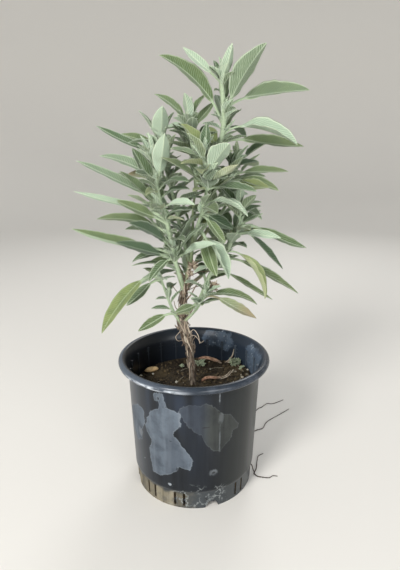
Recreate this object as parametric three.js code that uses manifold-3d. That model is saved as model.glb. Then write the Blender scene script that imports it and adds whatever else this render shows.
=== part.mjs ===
// A sage bush in a plastic nursery pot. Millimetres, +Z up.
// The origin is the centre of the pot's foot, on the surface that the pot stands on.
// Headings are degrees seen from above: 0 is +X, 90 is +Y (away), -90 is the front.
import * as THREE from 'three';
import Module from 'manifold-3d';

const wasm = await Module();
wasm.setup();

// Pot
const POT_HEIGHT = 161;
const RIM_RADIUS = 90;
const RIM_CREST = 84.5;
const RIM_DEPTH = 8.5;
const BODY_TOP = 79;
const BODY_FOOT = 73.2;
const FOOT_RADIUS = 71.5;
const BAND_HEIGHT = 24;
const BAND_STEP = 1.7;
const WALL = 2;
const FLOOR_LOW = 8;
const FLOOR_THICK = 2.5;
const PAD_RADIUS = 10;
const POT_SIDES = 40;
const SLOT_WIDTH = 3;
const SLOT_LOW = 3;
const SLOT_HIGH = 20;
const SLOT_SPREAD = 4.3;
const SLOT_PAIRS = [-133, -103, -43, -13, 47, 77, 137, 167];
const NOTCHES = [-73, 17, 107, 197];
const NOTCH_WIDTHS = [16, 9];
const NOTCH_HEIGHT = 7.5;

// Soil and trunk
const SOIL_LEVEL = 120;
const SOIL_SIDES = 22;
const CLEAR = 0.3;
const SOIL_RINGS = [1, 0.88, 0.72, 0.55, 0.38, 0.2];

// Leaves
const BLADE_UP = 0.5;
const BLADE_DOWN = 0.9;
const PETIOLE_HALF = 1.1;
const PETIOLE_SHARE = [0.12, 0.27];
const PETIOLE_RISE = 62;
const PETIOLE_BEND = 0.75;
const BLADE_FOLD = 26;
const EDGE_WAVE = 0.06;
const REAL_WIDTH = 1.28;
const MIDRIB_STEPS = 24;
const LONG_STATIONS = [0, 6, 10, 14, 19, 24];
const MIDDLE_STATIONS = [0, 5, 10, 16, 24];
const SHORT_STATIONS = [0, 7, 14, 24];
const LONG_LEAF = 54;
const SHORT_LEAF = 38;

// Clear space between the leaves of different stems
const CELL = 2;
const SAMPLE = 1.5;
const GRID_LOW = [-190, -190, 90];
const GRID_SIZE = [190, 190, 220];
const TURN_RINGS = [5, 10, 16, 23, 31, 40];
const NEAR_TURN = 10;

const radians = THREE.MathUtils.degToRad;

// Small vector helpers on plain [x, y, z] lists
const add = (a, b) => [a[0] + b[0], a[1] + b[1], a[2] + b[2]];
const sub = (a, b) => [a[0] - b[0], a[1] - b[1], a[2] - b[2]];
const scale = (a, k) => [a[0] * k, a[1] * k, a[2] * k];
const dot = (a, b) => a[0] * b[0] + a[1] * b[1] + a[2] * b[2];
const cross = (a, b) => [
  a[1] * b[2] - a[2] * b[1],
  a[2] * b[0] - a[0] * b[2],
  a[0] * b[1] - a[1] * b[0],
];
const unit = (a) => scale(a, 1 / Math.hypot(...a));
const mix = (a, b, k) => a + (b - a) * k;
const heading = (degrees) => [Math.cos(radians(degrees)), Math.sin(radians(degrees)), 0];

// Seeded draws between 0 and 1
function draws(seed) {
  let state = seed >>> 0;
  return () => {
    state = (state + 0x6d2b79f5) >>> 0;
    let t = state;
    t = Math.imul(t ^ (t >>> 15), t | 1);
    t ^= t + Math.imul(t ^ (t >>> 7), t | 61);
    return ((t ^ (t >>> 14)) >>> 0) / 4294967296;
  };
}

// A point at share t of a smooth curve through a list of points
function along(points, t) {
  const spans = points.length - 1;
  const i = Math.min(Math.floor(t * spans), spans - 1);
  const u = t * spans - i;
  const b = points[i];
  const c = points[i + 1];
  const a = i > 0 ? points[i - 1] : sub(scale(b, 2), c);
  const d = i < spans - 1 ? points[i + 2] : sub(scale(c, 2), b);
  return [0, 1, 2].map((k) => 0.5 * (2 * b[k] + (c[k] - a[k]) * u
    + (2 * a[k] - 5 * b[k] + 4 * c[k] - d[k]) * u * u
    + (3 * b[k] - a[k] - 3 * c[k] + d[k]) * u * u * u));
}

function pathAhead(points, t) {
  const near = 0.01;
  return unit(sub(along(points, Math.min(1, t + near)), along(points, Math.max(0, t - near))));
}

function pathLength(points) {
  return points.slice(1).reduce((sum, p, i) => sum + Math.hypot(...sub(p, points[i])), 0);
}

// Solids: vertices and triangles, turned so that the faces point out
function solid(vertices, triangles) {
  let volume = 0;
  for (const [a, b, c] of triangles) volume += dot(vertices[a], cross(vertices[b], vertices[c]));
  const order = volume < 0 ? triangles.map(([a, b, c]) => [a, c, b]) : triangles;
  return new wasm.Manifold(new wasm.Mesh({
    numProp: 3,
    vertProperties: new Float32Array(vertices.flat()),
    triVerts: new Uint32Array(order.flat()),
  }));
}

// A closed skin over rings of equal count; a ring of one point closes an end
function skin(rings) {
  const vertices = rings.flat();
  const starts = [];
  let count = 0;
  for (const ring of rings) {
    starts.push(count);
    count += ring.length;
  }
  const triangles = [];
  for (let r = 0; r < rings.length - 1; r++) {
    const low = starts[r];
    const high = starts[r + 1];
    const n = Math.max(rings[r].length, rings[r + 1].length);
    for (let i = 0; i < n; i++) {
      const j = (i + 1) % n;
      if (rings[r].length === 1) triangles.push([low, high + i, high + j]);
      else if (rings[r + 1].length === 1) triangles.push([low + j, low + i, high]);
      else triangles.push([low + i, high + i, high + j], [low + i, high + j, low + j]);
    }
  }
  return [vertices, triangles];
}

// A flat lid over the first and last ring
function lids(rings) {
  const centre = (ring) => scale(ring.reduce(add), 1 / ring.length);
  const ends = [rings[0], rings[rings.length - 1]];
  const closed = ends.map((ring) => (ring.length === 1 ? [] : [[centre(ring)]]));
  return [...closed[0], ...rings, ...closed[1]];
}

const joined = (solids) => solids.reduce((a, b) => a.add(b));

// The largest outer body of a solid, without loose scraps or sealed hollows
function oneBody(shape) {
  const { vertProperties: v, triVerts: t } = shape.getMesh();
  const root = Array.from({ length: v.length / 3 }, (_, i) => i);
  const find = (i) => {
    while (root[i] !== i) i = root[i] = root[root[i]];
    return i;
  };
  for (let k = 0; k < t.length; k += 3) {
    root[find(t[k])] = find(t[k + 1]);
    root[find(t[k + 1])] = find(t[k + 2]);
  }
  const point = (i) => [v[3 * i], v[3 * i + 1], v[3 * i + 2]];
  const volumes = new Map();
  for (let k = 0; k < t.length; k += 3) {
    const six = dot(point(t[k]), cross(point(t[k + 1]), point(t[k + 2])));
    volumes.set(find(t[k]), (volumes.get(find(t[k])) ?? 0) + six);
  }
  const largest = [...volumes].sort((a, b) => b[1] - a[1])[0][0];
  const kept = [];
  for (let k = 0; k < t.length; k += 3) {
    if (find(t[k]) === largest) kept.push(t[k], t[k + 1], t[k + 2]);
  }
  const geometry = new THREE.BufferGeometry();
  geometry.setAttribute('position', new THREE.BufferAttribute(new Float32Array(v), 3));
  geometry.setIndex(kept);
  const faces = geometry.toNonIndexed();
  faces.computeVertexNormals();
  return faces;
}

const plant = new THREE.Group();

function place(name, shape, colour, roughness) {
  const material = new THREE.MeshStandardMaterial({ color: colour, roughness, metalness: 0 });
  const mesh = new THREE.Mesh(oneBody(shape), material);
  mesh.name = name;
  plant.add(mesh);
}

// A stem: rings round a curve from share t0 to t1, with its radius and relief by formula
function stemRings(points, t0, t1, step, sides, radius, level = [0, 1, 0]) {
  const count = Math.max(1, Math.round((pathLength(points) * (t1 - t0)) / step));
  const rings = [];
  for (let i = 0; i <= count; i++) {
    const t = mix(t0, t1, i / count);
    const centre = along(points, t);
    const ahead = pathAhead(points, t);
    const side = unit(cross(level, ahead));
    const other = cross(ahead, side);
    const ring = [];
    for (let k = 0; k < sides; k++) {
      const angle = (2 * Math.PI * k) / sides;
      const r = radius(t, angle);
      ring.push(add(centre, add(scale(side, r * Math.cos(angle)), scale(other, r * Math.sin(angle)))));
    }
    rings.push(ring);
  }
  return rings;
}

const stem = (...measures) => solid(...skin(lids(stemRings(...measures))));

// Pot: the wall at a height, then the whole turned section
const bodyRadius = (z) => mix(BODY_FOOT, BODY_TOP, z / (POT_HEIGHT - RIM_DEPTH));
const bandRadius = (z) => mix(FOOT_RADIUS, bodyRadius(BAND_HEIGHT) - BAND_STEP, z / BAND_HEIGHT);
const innerRadius = (z) => (z < BAND_HEIGHT ? bandRadius(z) : bodyRadius(z)) - WALL;

function pot() {
  const lip = POT_HEIGHT - RIM_DEPTH;
  const floor = FLOOR_LOW + FLOOR_THICK;
  const section = [
    [0, 0],
    [PAD_RADIUS, 0],
    [PAD_RADIUS + 1, FLOOR_LOW],
    [innerRadius(FLOOR_LOW), FLOOR_LOW],
    [innerRadius(0), 0],
    [FOOT_RADIUS, 0],
    [bandRadius(BAND_HEIGHT), BAND_HEIGHT - 1],
    [bodyRadius(BAND_HEIGHT), BAND_HEIGHT],
    [BODY_TOP + 0.2, lip],
    [RIM_RADIUS - 2.2, lip + 0.5],
    [RIM_RADIUS, lip + 3.4],
    [RIM_RADIUS - 0.9, lip + 6.4],
    [RIM_RADIUS - 2.9, POT_HEIGHT - 0.7],
    [RIM_CREST, POT_HEIGHT],
    [RIM_CREST - 1.9, POT_HEIGHT - 0.8],
    [RIM_CREST - 3.3, POT_HEIGHT - 3.6],
    [BODY_TOP - 0.6, lip - 2],
    [innerRadius(BAND_HEIGHT), BAND_HEIGHT + 2.5],
    [innerRadius(BAND_HEIGHT - 2), BAND_HEIGHT - 2],
    [innerRadius(floor), floor],
    [0, floor],
  ];
  const rings = section.map(([r, z]) => (r === 0 ? [[0, 0, z]] : circle(r, z, POT_SIDES)));
  let shape = solid(...skin(rings));
  for (const pair of SLOT_PAIRS) {
    for (const side of [-1, 1]) {
      const cut = block(SLOT_WIDTH, SLOT_WIDTH, SLOT_LOW, SLOT_HIGH, pair + side * SLOT_SPREAD);
      shape = shape.subtract(cut);
    }
  }
  for (const notch of NOTCHES) {
    shape = shape.subtract(block(...NOTCH_WIDTHS, -1, NOTCH_HEIGHT, notch));
  }
  return shape;
}

function circle(radius, z, sides) {
  return Array.from({ length: sides }, (_, i) => add(scale(heading((360 * i) / sides), radius), [0, 0, z]));
}

// A block across the wall of the pot's foot, with its own width at the foot and the top
function block(low, high, z0, z1, at) {
  const out = heading(at);
  const side = heading(at + 90);
  const ring = (width, z) => [[-1, -1], [1, -1], [1, 1], [-1, 1]].map(([o, s]) => add(
    add(scale(out, FOOT_RADIUS + 4.5 * o), scale(side, (s * width) / 2)), [0, 0, z]));
  return solid(...skin(lids([ring(low, z0), ring(high, z1)])));
}

// Trunk: crooked and shaggy with bark low down, slim further up
const TRUNK_PATH = [
  [-1, -8, 72], [-1, -8, 98], [-1, -8, 126], [-3, -7, 150], [-6, -6, 173], [-10, -6, 189],
  [-14, -5, 204], [-13, -4, 222], [-11, -3, 240], [-7, -1, 258], [-3, 1, 276], [-1, 5, 303],
  [0, 10, 336], [7, 12, 371],
];
const BARK_FROM = 0.2;
const BARK_TO = 0.62;

function bark(t, angle) {
  const ramp = Math.min(1, Math.max(0, (t - BARK_FROM) / 0.05));
  const fade = Math.min(1, Math.max(0, (BARK_TO - t) / 0.1));
  const ridges = 0.6 * Math.sin(3 * angle + 40 * t) + 0.45 * Math.sin(5 * angle - 70 * t);
  const lumps = 0.8 * Math.sin(90 * t + 2 * angle);
  return ramp * fade * (ridges + lumps);
}

function trunkRadius(t, angle) {
  const swell = 1.7 * Math.exp(-(((t - 0.42) / 0.1) ** 2));
  const plain = t < 0.55 ? mix(3.9, 4, t / 0.55) : mix(4, 1.9, (t - 0.55) / 0.45);
  return plain + swell + bark(t, angle);
}

// Strips of bark that have come loose and curl away from the trunk
const STRIPS = [
  [[-12, -8, 196], [-17, -11, 191], [-21, -12, 186], [-18, -12, 181], [-10, -9, 182]],
  [[-6, -9, 184], [0, -12, 188], [5, -13, 184], [8, -12, 179], [12, -11, 181]],
  [[-5, -9, 190], [0, -12, 195], [5, -12, 188], [7, -13, 178]],
  [[-9, -9, 205], [-7, -13, 200], [-5, -13, 192], [-2, -11, 187]],
];

// The leafy stems. Each path starts inside the trunk; the first few millimetres belong to the
// trunk as a stub. A leaf row holds: share of the stem, heading and rise of the straight line
// from foot to tip, its length, the blade's width, how far the midrib bends over from foot to
// tip, how far the top face is turned to the right-hand side as seen from the stem, and how far
// each half is folded up where that isn't the usual angle.
const STEMS = {
  shoot_crown: {
    path: [[7, 12, 371], [20, 9, 388], [29, 5, 402], [32, 0, 421], [31, -3, 440], [29, -5, 462],
      [29, -5, 467]],
    radius: [2.6, 1.8], stub: 3,
    leaves: [
      [0.46, 160, 46, 104, 18, 40, -45, 36],
      [0.54, -36, 54, 80, 20, 25, -25],
      [0.78, -60, 64, 40, 10, -10, -10],
      [0.8, 145, 35, 60, 9, -10, -50],
      [0.9, -150, 70, 18, 6, 10, 0],
      [0.6, 13, 14, 98, 20, 10, 48, 38],
      [0.38, -18, -6, 80, 20, 40, 30, 45],
      [0.3, 17, 0, 102, 16, -10, 50, 36],
      [0.6, -50, 42, 16, 6, 10, 0],
      [0.54, -45, 30, 16, 6, 10, 0],
      [0.45, -166, 14, 24, 8, 20, 0],
      [0.46, 46, -14, 40, 12, 30, 0],
      [0.54, 150, 18, 16, 6, 10, 0],
      [0.88, 180, 42, 16, 6, 10, 0],
      [0.84, -120, 35, 14, 6, 10, 0],
      [0.97, 70, 70, 14, 6, 10, 0],
    ],
    rule: { seed: 11, from: 0.34, to: 0.74, count: 4, sector: [60, 130], length: [62, 40], rise: 24 },
  },
  shoot_left: {
    path: [[-11, -4, 240], [-21, -11, 278], [-27, -15, 313], [-35, -18, 343], [-39, -20, 369],
      [-41, -20, 386]],
    radius: [2.4, 1.2], stub: 11,
    leaves: [
      [0.72, -65, 62, 55, 17, -15, -10, 32],
      [0.92, -125, 76, 32, 7, 5, 0],
      [0.92, 135, 54, 36, 6, 15, -10],
      [0.7, 160, 25, 74, 12, 30, -35],
      [0.54, 180, 29, 100, 12, 0, -35],
      [0.7, 142, 12, 48, 10, 40, -40],
      [0.5, -166, 34, 64, 13, 0, -40],
      [0.45, 169, 16, 108, 9, -10, -35],
      [0.42, -166, 27, 60, 13, -10, -45],
      [0.53, -34, 10, 42, 10, 35, 35, 20],
      [0.33, 174, 14, 84, 13, 30, -35],
      [0.25, -145, 34, 62, 16, 20, -45],
      [0.22, 174, 14, 118, 14, -25, -30],
      [0.18, -160, 22, 70, 14, -5, -40],
      [0.18, 165, -3, 52, 12, 50, -35],
      [0.12, 166, 4, 56, 5, 30, -20],
      [0.2, -140, -30, 40, 10, 25, -30, 35],
      [0.45, 30, -38, 28, 10, 10, 20],
      [0.35, 68, -64, 24, 10, 20, 0],
      [0.18, -36, 26, 60, 12, 20, 40],
      [0.2, -15, 45, 50, 11, 20, 15],
      [0.63, 148, 55, 60, 14, 0, -20],
      [0.98, 60, 70, 20, 7, 10, 0],
    ],
    rule: { seed: 12, from: 0.2, to: 0.8, count: 3, sector: [70, 140], length: [60, 40], rise: 20 },
  },
  shoot_top_left: {
    path: [[3, 12, 352], [0, 14, 389], [-4, 12, 415], [-4, 10, 433]],
    radius: [1.8, 0.9], stub: 8,
    leaves: [
      [0.67, 176, 44, 52, 11, 40, -40, 20],
      [0.74, -108, 65, 34, 11, 30, -10],
      [0.65, 32, 45, 44, 9, -10, 40],
      [0.54, -162, 20, 26, 8, 10, 0],
      [0.95, -60, 75, 18, 6, 0, 0],
      [0.95, 120, 65, 22, 8, 10, 0],
      [0.3, -125, 20, 46, 12, 20, 0],
      [0.4, -50, 22, 44, 12, 20, 0],
      [0.52, -85, 35, 36, 11, 15, 0],
    ],
    rule: { seed: 13, from: 0.25, to: 0.8, count: 3, sector: [20, 130], length: [60, 42], rise: 22 },
  },
  shoot_centre: {
    path: [[0, 3, 292], [5, -8, 315], [10, -15, 333], [14, -20, 354], [14, -25, 374],
      [12, -26, 394]],
    radius: [1.9, 1], stub: 8,
    leaves: [
      [0.7, -55, 44, 50, 18, 25, -25],
      [0.87, 147, 51, 50, 14, 30, -20, 30],
      [0.85, -141, 52, 38, 14, 10, -10],
      [0.92, -96, 72, 16, 6, 5, 0],
      [0.61, -150, 31, 60, 12, 10, -40],
      [0.63, -32, 32, 42, 10, 0, -30, 16],
      [0.41, -33, -5, 54, 13, 55, -5, 44],
      [0.52, -156, 5, 18, 6, 10, 0],
      [0.87, -160, 20, 40, 12, 10, -25],
      [0.6, -120, 0, 28, 8, 15, 0],
      [0.16, -51, -54, 58, 15, -20, 50, 33],
      [0.1, -48, -38, 66, 20, 10, -10, 46],
      [0.32, -48, -33, 45, 10, -15, 20],
      [0.35, -15, -24, 38, 13, -20, 45],
      [0.98, 30, 70, 18, 7, 5, 0],
    ],
    rule: { seed: 14, from: 0.4, to: 0.9, count: 2, sector: [20, 150], length: [50, 36], rise: 28 },
  },
  shoot_right: {
    path: [[-8, -6, 214], [6, -10, 230], [16, -12, 256], [26, -14, 276], [36, -15, 287],
      [43, -14, 301], [50, -11, 315], [50, -8, 337]],
    radius: [2, 1], stub: 9,
    leaves: [
      [0.75, -16, 0, 50, 10, 0, 42],
      [0.85, 8, -18, 82, 12, -25, 45],
      [0.87, -20, 27, 28, 6, -15, 35],
      [0.78, 23, -36, 77, 12, -10, 45],
      [0.51, -20, -42, 66, 15, 60, 0, 46],
      [0.41, 11, -22, 107, 12, 5, 38],
      [0.33, 14, -26, 84, 9, -15, 35],
      [0.38, -138, 2, 26, 9, 20, 0],
      [0.99, -84, 76, 24, 8, 0, 0],
      [0.93, 30, 18, 30, 10, 20, 10],
    ],
    rule: { seed: 15, from: 0.3, to: 0.95, count: 4, sector: [50, 120], length: [60, 40], rise: 18 },
  },
  shoot_left_high: {
    path: [[-4, 0, 265], [-16, 12, 313], [-26, 14, 357], [-33, 12, 386], [-36, 10, 407]],
    radius: [2, 1], stub: 9,
    leaves: [
      [0.9, -78, 56, 42, 17, -10, 15],
      [0.98, -135, 42, 18, 9, 5, 0],
      [0.9, 25, 50, 38, 12, 20, 0],
      [0.73, 174, 26, 82, 10, -20, -40],
      [0.83, 150, 18, 64, 10, 0, -40],
      [0.98, 80, 70, 20, 8, 5, 0],
      [0.73, 156, 3, 40, 13, 10, -20],
      [0.7, -38, 55, 34, 10, 10, 0],
      [0.35, -30, 25, 46, 12, 20, 0],
      [0.45, -75, 30, 44, 12, 20, 0],
      [0.55, -25, 30, 44, 12, 20, 0],
      [0.6, -95, 25, 42, 12, 20, 0],
    ],
    rule: { seed: 16, from: 0.3, to: 0.85, count: 4, sector: [60, 190], length: [62, 45], rise: 20 },
  },
  shoot_right_high: {
    path: [[-1, 6, 296], [16, 14, 316], [32, 20, 346], [40, 22, 365], [45, 24, 380]],
    radius: [1.8, 0.9], stub: 8,
    leaves: [
      [0.72, 7, 7, 70, 12, 5, 36],
      [0.63, -19, -5, 60, 14, 20, 36],
      [0.55, -28, 5, 54, 16, 0, 42],
      [0.5, 25, 8, 60, 11, 30, 20],
      [0.89, 25, 14, 36, 11, 20, 20],
      [0.93, -10, 54, 30, 10, 10, 0],
      [0.97, 150, 65, 22, 8, 5, 0],
      [0.35, -85, 15, 42, 12, 20, 0],
      [0.75, -60, 40, 34, 10, 10, 0],
    ],
    rule: { seed: 17, from: 0.4, to: 0.9, count: 4, sector: [50, 130], length: [58, 40], rise: 20 },
  },
  shoot_right_low: {
    path: [[-10, -9, 205], [1, -17, 219], [8, -20, 230], [15, -21, 243]],
    radius: [1.5, 0.9], stub: 8,
    leaves: [
      [0.6, 7, -2, 66, 11, 60, 30],
      [0.85, -16, -18, 62, 12, -10, 30],
      [0.6, -134, 0, 38, 9, -15, -35],
      [0.97, 60, 70, 16, 6, 5, 0],
      [0.97, -110, 55, 16, 6, 5, 0],
    ],
  },
  shoot_left_low: {
    path: [[-14, -6, 199], [-23, -12, 217], [-29, -14, 234], [-35, -14, 252], [-40, -13, 264]],
    radius: [1.6, 0.9], stub: 10,
    leaves: [
      [0.8, -166, -34, 48, 10, -15, -50],
      [0.8, -146, -33, 87, 14, 34, -33],
      [0.2, -163, -20, 46, 10, 0, -50],
      [0.5, -163, 0, 14, 6, 10, 0],
      [0.47, -80, 60, 20, 6, 5, 0],
      [0.41, -25, 50, 24, 7, 5, 0],
      [0.3, -170, 5, 24, 7, 10, -20],
    ],
    rule: { seed: 18, from: 0.5, to: 0.9, count: 3, sector: [80, 170], length: [45, 36], rise: 5 },
  },
  shoot_back_left: {
    path: [[-9, -2, 249], [-22, 16, 270], [-38, 34, 298], [-48, 46, 328], [-52, 52, 354]],
    radius: [2.1, 1], stub: 10,
    leaves: [],
    rule: { seed: 19, from: 0.28, to: 0.98, count: 8, pairs: 74, length: [66, 26], rise: 24 },
  },
  shoot_back_right: {
    path: [[-2, 3, 287], [16, 20, 306], [36, 36, 330], [48, 46, 360], [52, 50, 384]],
    radius: [2, 1], stub: 9,
    leaves: [],
    rule: { seed: 20, from: 0.28, to: 0.98, count: 8, pairs: 12, length: [64, 24], rise: 24 },
  },
  shoot_back_high: {
    path: [[2, 11, 346], [3, 30, 368], [2, 44, 394], [0, 50, 418]],
    radius: [1.8, 0.9], stub: 9,
    leaves: [],
    rule: { seed: 21, from: 0.3, to: 0.98, count: 8, pairs: 40, length: [60, 22], rise: 26 },
  },
  shoot_back_low: {
    path: [[-12, -3, 231], [-10, 20, 246], [-8, 44, 262], [-6, 62, 284], [-6, 72, 310]],
    radius: [2, 1], stub: 10,
    leaves: [],
    rule: { seed: 22, from: 0.34, to: 0.98, count: 8, pairs: 50, length: [66, 26], rise: 18 },
  },
  shoot_back_right_low: {
    path: [[-11, -2, 241], [10, 14, 254], [32, 32, 270], [48, 44, 292], [54, 50, 316]],
    radius: [1.9, 1], stub: 11,
    leaves: [],
    rule: { seed: 23, from: 0.34, to: 0.98, count: 8, pairs: 20, length: [62, 24], rise: 14 },
  },
};

// Leaves that the table doesn't place: opposite pairs, each a quarter turn from the last, or
// spread over the sector of the stem that faces away
function ruleLeaves(rule) {
  const leaves = [];
  if (!rule) return leaves;
  const draw = draws(rule.seed);
  for (let i = 0; i < rule.count; i++) {
    const k = rule.count > 1 ? i / (rule.count - 1) : 0;
    const pair = Math.floor(i / 2);
    const opposite = rule.pairs + 90 * pair + 180 * (i % 2);
    const spread = rule.sector ? mix(rule.sector[0], rule.sector[1], (i * 0.618) % 1) : opposite;
    const share = rule.sector ? k : pair / Math.max(1, Math.ceil(rule.count / 2) - 1);
    const size = mix(rule.length[0], rule.length[1], share ** 2) * mix(0.88, 1.1, draw());
    leaves.push([
      mix(rule.from, rule.to, share),
      spread + mix(-14, 14, draw()),
      rule.rise + 34 * share + mix(-9, 9, draw()),
      size,
      size * mix(0.22, 0.28, draw()),
      mix(20, 55, draw()) * (1 - 0.5 * share),
      mix(-16, 16, draw()),
    ]);
  }
  return leaves;
}

// How grown a leaf is: 0 for the smallest, 1 for a full one
const grown = (length) => Math.min(1, Math.max(0, (length - 20) / 30));

// The midrib of a leaf: a stalk that leaves the stem steeply and a blade that bends over evenly,
// turned and sized so that they run from the foot to the tip, with the blade's frame at each step
function midrib(foot, [, azimuth, rise, length, , arch, tilt]) {
  const lift = Math.max(0, PETIOLE_RISE - rise) * PETIOLE_BEND * grown(length);
  const slopeAt = (u) => radians(arch * (0.5 - u) + lift * Math.max(0, 1 - u / 0.36) ** 1.5);
  const flat = [[0, 0]];
  for (let i = 0; i < MIDRIB_STEPS; i++) {
    const slope = slopeAt((i + 0.5) / MIDRIB_STEPS);
    flat.push([flat[i][0] + Math.cos(slope), flat[i][1] + Math.sin(slope)]);
  }
  const end = flat[MIDRIB_STEPS];
  const turn = radians(rise) - Math.atan2(end[1], end[0]);
  const size = length / Math.hypot(...end);
  const out = heading(azimuth);
  return flat.map(([a, b], i) => {
    const r = (a * Math.cos(turn) - b * Math.sin(turn)) * size;
    const z = (a * Math.sin(turn) + b * Math.cos(turn)) * size;
    const slope = slopeAt(i / MIDRIB_STEPS) + turn;
    const ahead = add(scale(out, Math.cos(slope)), [0, 0, Math.sin(slope)]);
    const top = add(scale(out, -Math.sin(slope)), [0, 0, Math.cos(slope)]);
    const right = cross(ahead, top);
    const roll = radians(tilt);
    return {
      centre: add(foot, add(scale(out, r), [0, 0, z])),
      up: add(scale(top, Math.cos(roll)), scale(right, Math.sin(roll))),
      right: sub(scale(right, Math.cos(roll)), scale(top, Math.sin(roll))),
    };
  });
}

// Half the width of a blade at share u of its length, past a stalk of the share given
function halfWidth(u, width, stalk) {
  const s = (u - stalk) / (1 - stalk);
  if (s <= 0) return PETIOLE_HALF;
  const blade = (REAL_WIDTH * width / 2) * Math.sin(Math.PI * Math.min(1, s) ** 0.85) ** 0.78;
  return Math.max(PETIOLE_HALF * (1 - s), blade);
}

function stationsFor(length) {
  if (length < SHORT_LEAF) return SHORT_STATIONS;
  return length < LONG_LEAF ? MIDDLE_STATIONS : LONG_STATIONS;
}

// Stations of a blade, each with its left edge, top of the midrib, right edge and underside
function bladeStations(foot, leaf) {
  const [, azimuth, , length, width, , , folded = BLADE_FOLD] = leaf;
  const steps = midrib(foot, leaf);
  const picked = stationsFor(length);
  const stalk = mix(...PETIOLE_SHARE, grown(length));
  return picked.map((i) => {
    const { centre, up, right } = steps[i];
    const u = i / MIDRIB_STEPS;
    const half = halfWidth(u, width, stalk);
    const blade = Math.min(1, Math.max(0, (u - stalk) / 0.15));
    const fold = radians(folded) * blade;
    const thin = mix(1, 0.45, u);
    const edge = (side) => {
      const wave = blade * EDGE_WAVE * half * Math.sin(17 * u + 1.7 * side + azimuth);
      return add(centre, add(scale(right, side * half * Math.cos(fold)),
        scale(up, half * Math.sin(fold) + wave)));
    };
    return {
      left: edge(-1),
      right: edge(1),
      top: add(centre, scale(up, BLADE_UP * thin)),
      under: add(centre, scale(up, -BLADE_DOWN * thin)),
    };
  });
}

function blade(stations) {
  const rings = stations.map(({ left, top, right, under }) => [left, top, right, under]);
  const last = stations[stations.length - 1];
  rings[rings.length - 1] = [scale(add(last.top, last.under), 0.5)];
  const n = rings.length;
  const vertices = rings.flat();
  const triangles = [[0, 1, 2], [0, 2, 3]];
  for (let r = 0; r < n - 1; r++) {
    const a = 4 * r;
    const b = 4 * (r + 1);
    if (r === n - 2) {
      for (let k = 0; k < 4; k++) triangles.push([a + (k + 1) % 4, a + k, b]);
    } else {
      for (const middle of [1, 3]) {
        for (const side of [0, 2]) {
          const turned = (middle === 1) === (side === 0);
          const first = [a + side, b + side, b + middle];
          const second = [a + side, b + middle, a + middle];
          for (const t of [first, second]) triangles.push(turned ? t : [t[0], t[2], t[1]]);
        }
      }
    }
  }
  return solid(vertices, triangles);
}

// Space taken so far, in cells; each stem has its own bit
const taken = new Uint32Array(GRID_SIZE[0] * GRID_SIZE[1] * GRID_SIZE[2]);
const cellAt = (p) => p.map((c, k) => Math.floor((c - GRID_LOW[k]) / CELL));
const cellIndex = ([x, y, z]) => (x * GRID_SIZE[1] + y) * GRID_SIZE[2] + z;

function take(points, bit) {
  for (const p of points) {
    const [x, y, z] = cellAt(p);
    for (let i = -1; i <= 1; i++) {
      for (let j = -1; j <= 1; j++) {
        for (let k = -1; k <= 1; k++) taken[cellIndex([x + i, y + j, z + k])] |= bit;
      }
    }
  }
}

const met = (points, own) => points.some((p) => (taken[cellIndex(cellAt(p))] & ~own) !== 0);

// Points spread over both halves of a blade
function bladePoints(stations, from) {
  const points = [];
  for (let i = from; i < stations.length - 1; i++) {
    const a = stations[i];
    const b = stations[i + 1];
    for (const side of ['left', 'right']) {
      const width = Math.max(Math.hypot(...sub(a[side], a.top)), Math.hypot(...sub(b[side], b.top)));
      const rows = Math.max(1, Math.ceil(width / SAMPLE));
      const steps = Math.ceil(Math.hypot(...sub(b.top, a.top)) / SAMPLE);
      for (let r = 0; r <= rows; r++) {
        const start = add(scale(a.top, 1 - r / rows), scale(a[side], r / rows));
        const end = add(scale(b.top, 1 - r / rows), scale(b[side], r / rows));
        for (let s = 0; s <= steps; s++) {
          points.push(add(scale(start, 1 - s / steps), scale(end, s / steps)));
        }
      }
    }
  }
  return points;
}

// Turns of a leaf to try, the smallest first: heading and rise
const TURNS = [[0, 0]];
for (const ring of TURN_RINGS) {
  for (const [h, r] of [[0, 1], [1, 0], [-1, 0], [0, -1], [1, 1], [-1, 1], [1, -1], [-1, -1]]) {
    TURNS.push([h * ring, r * ring]);
  }
}

// Bends a leaf clear of what is there: of every leaf if a small turn does it, else of the leaves
// of the other stems
function bentClear(foot, leaf, bit) {
  let fallback = null;
  for (const [h, r] of TURNS) {
    if (fallback && Math.max(Math.abs(h), Math.abs(r)) > NEAR_TURN) break;
    const tried = [leaf[0], leaf[1] + h, leaf[2] + r, ...leaf.slice(3)];
    const stations = bladeStations(foot, tried);
    if (met(bladePoints(stations, 0), bit)) continue;
    if (!met(bladePoints(stations, 2), 0)) return stations;
    fallback ??= stations;
  }
  return fallback;
}

function stemPoints(rings) {
  const points = [];
  for (let i = 0; i < rings.length - 1; i++) {
    rings[i].forEach((p, k) => {
      for (const s of [0, 0.25, 0.5, 0.75]) points.push(add(scale(p, 1 - s), scale(rings[i + 1][k], s)));
    });
  }
  return points;
}

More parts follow.
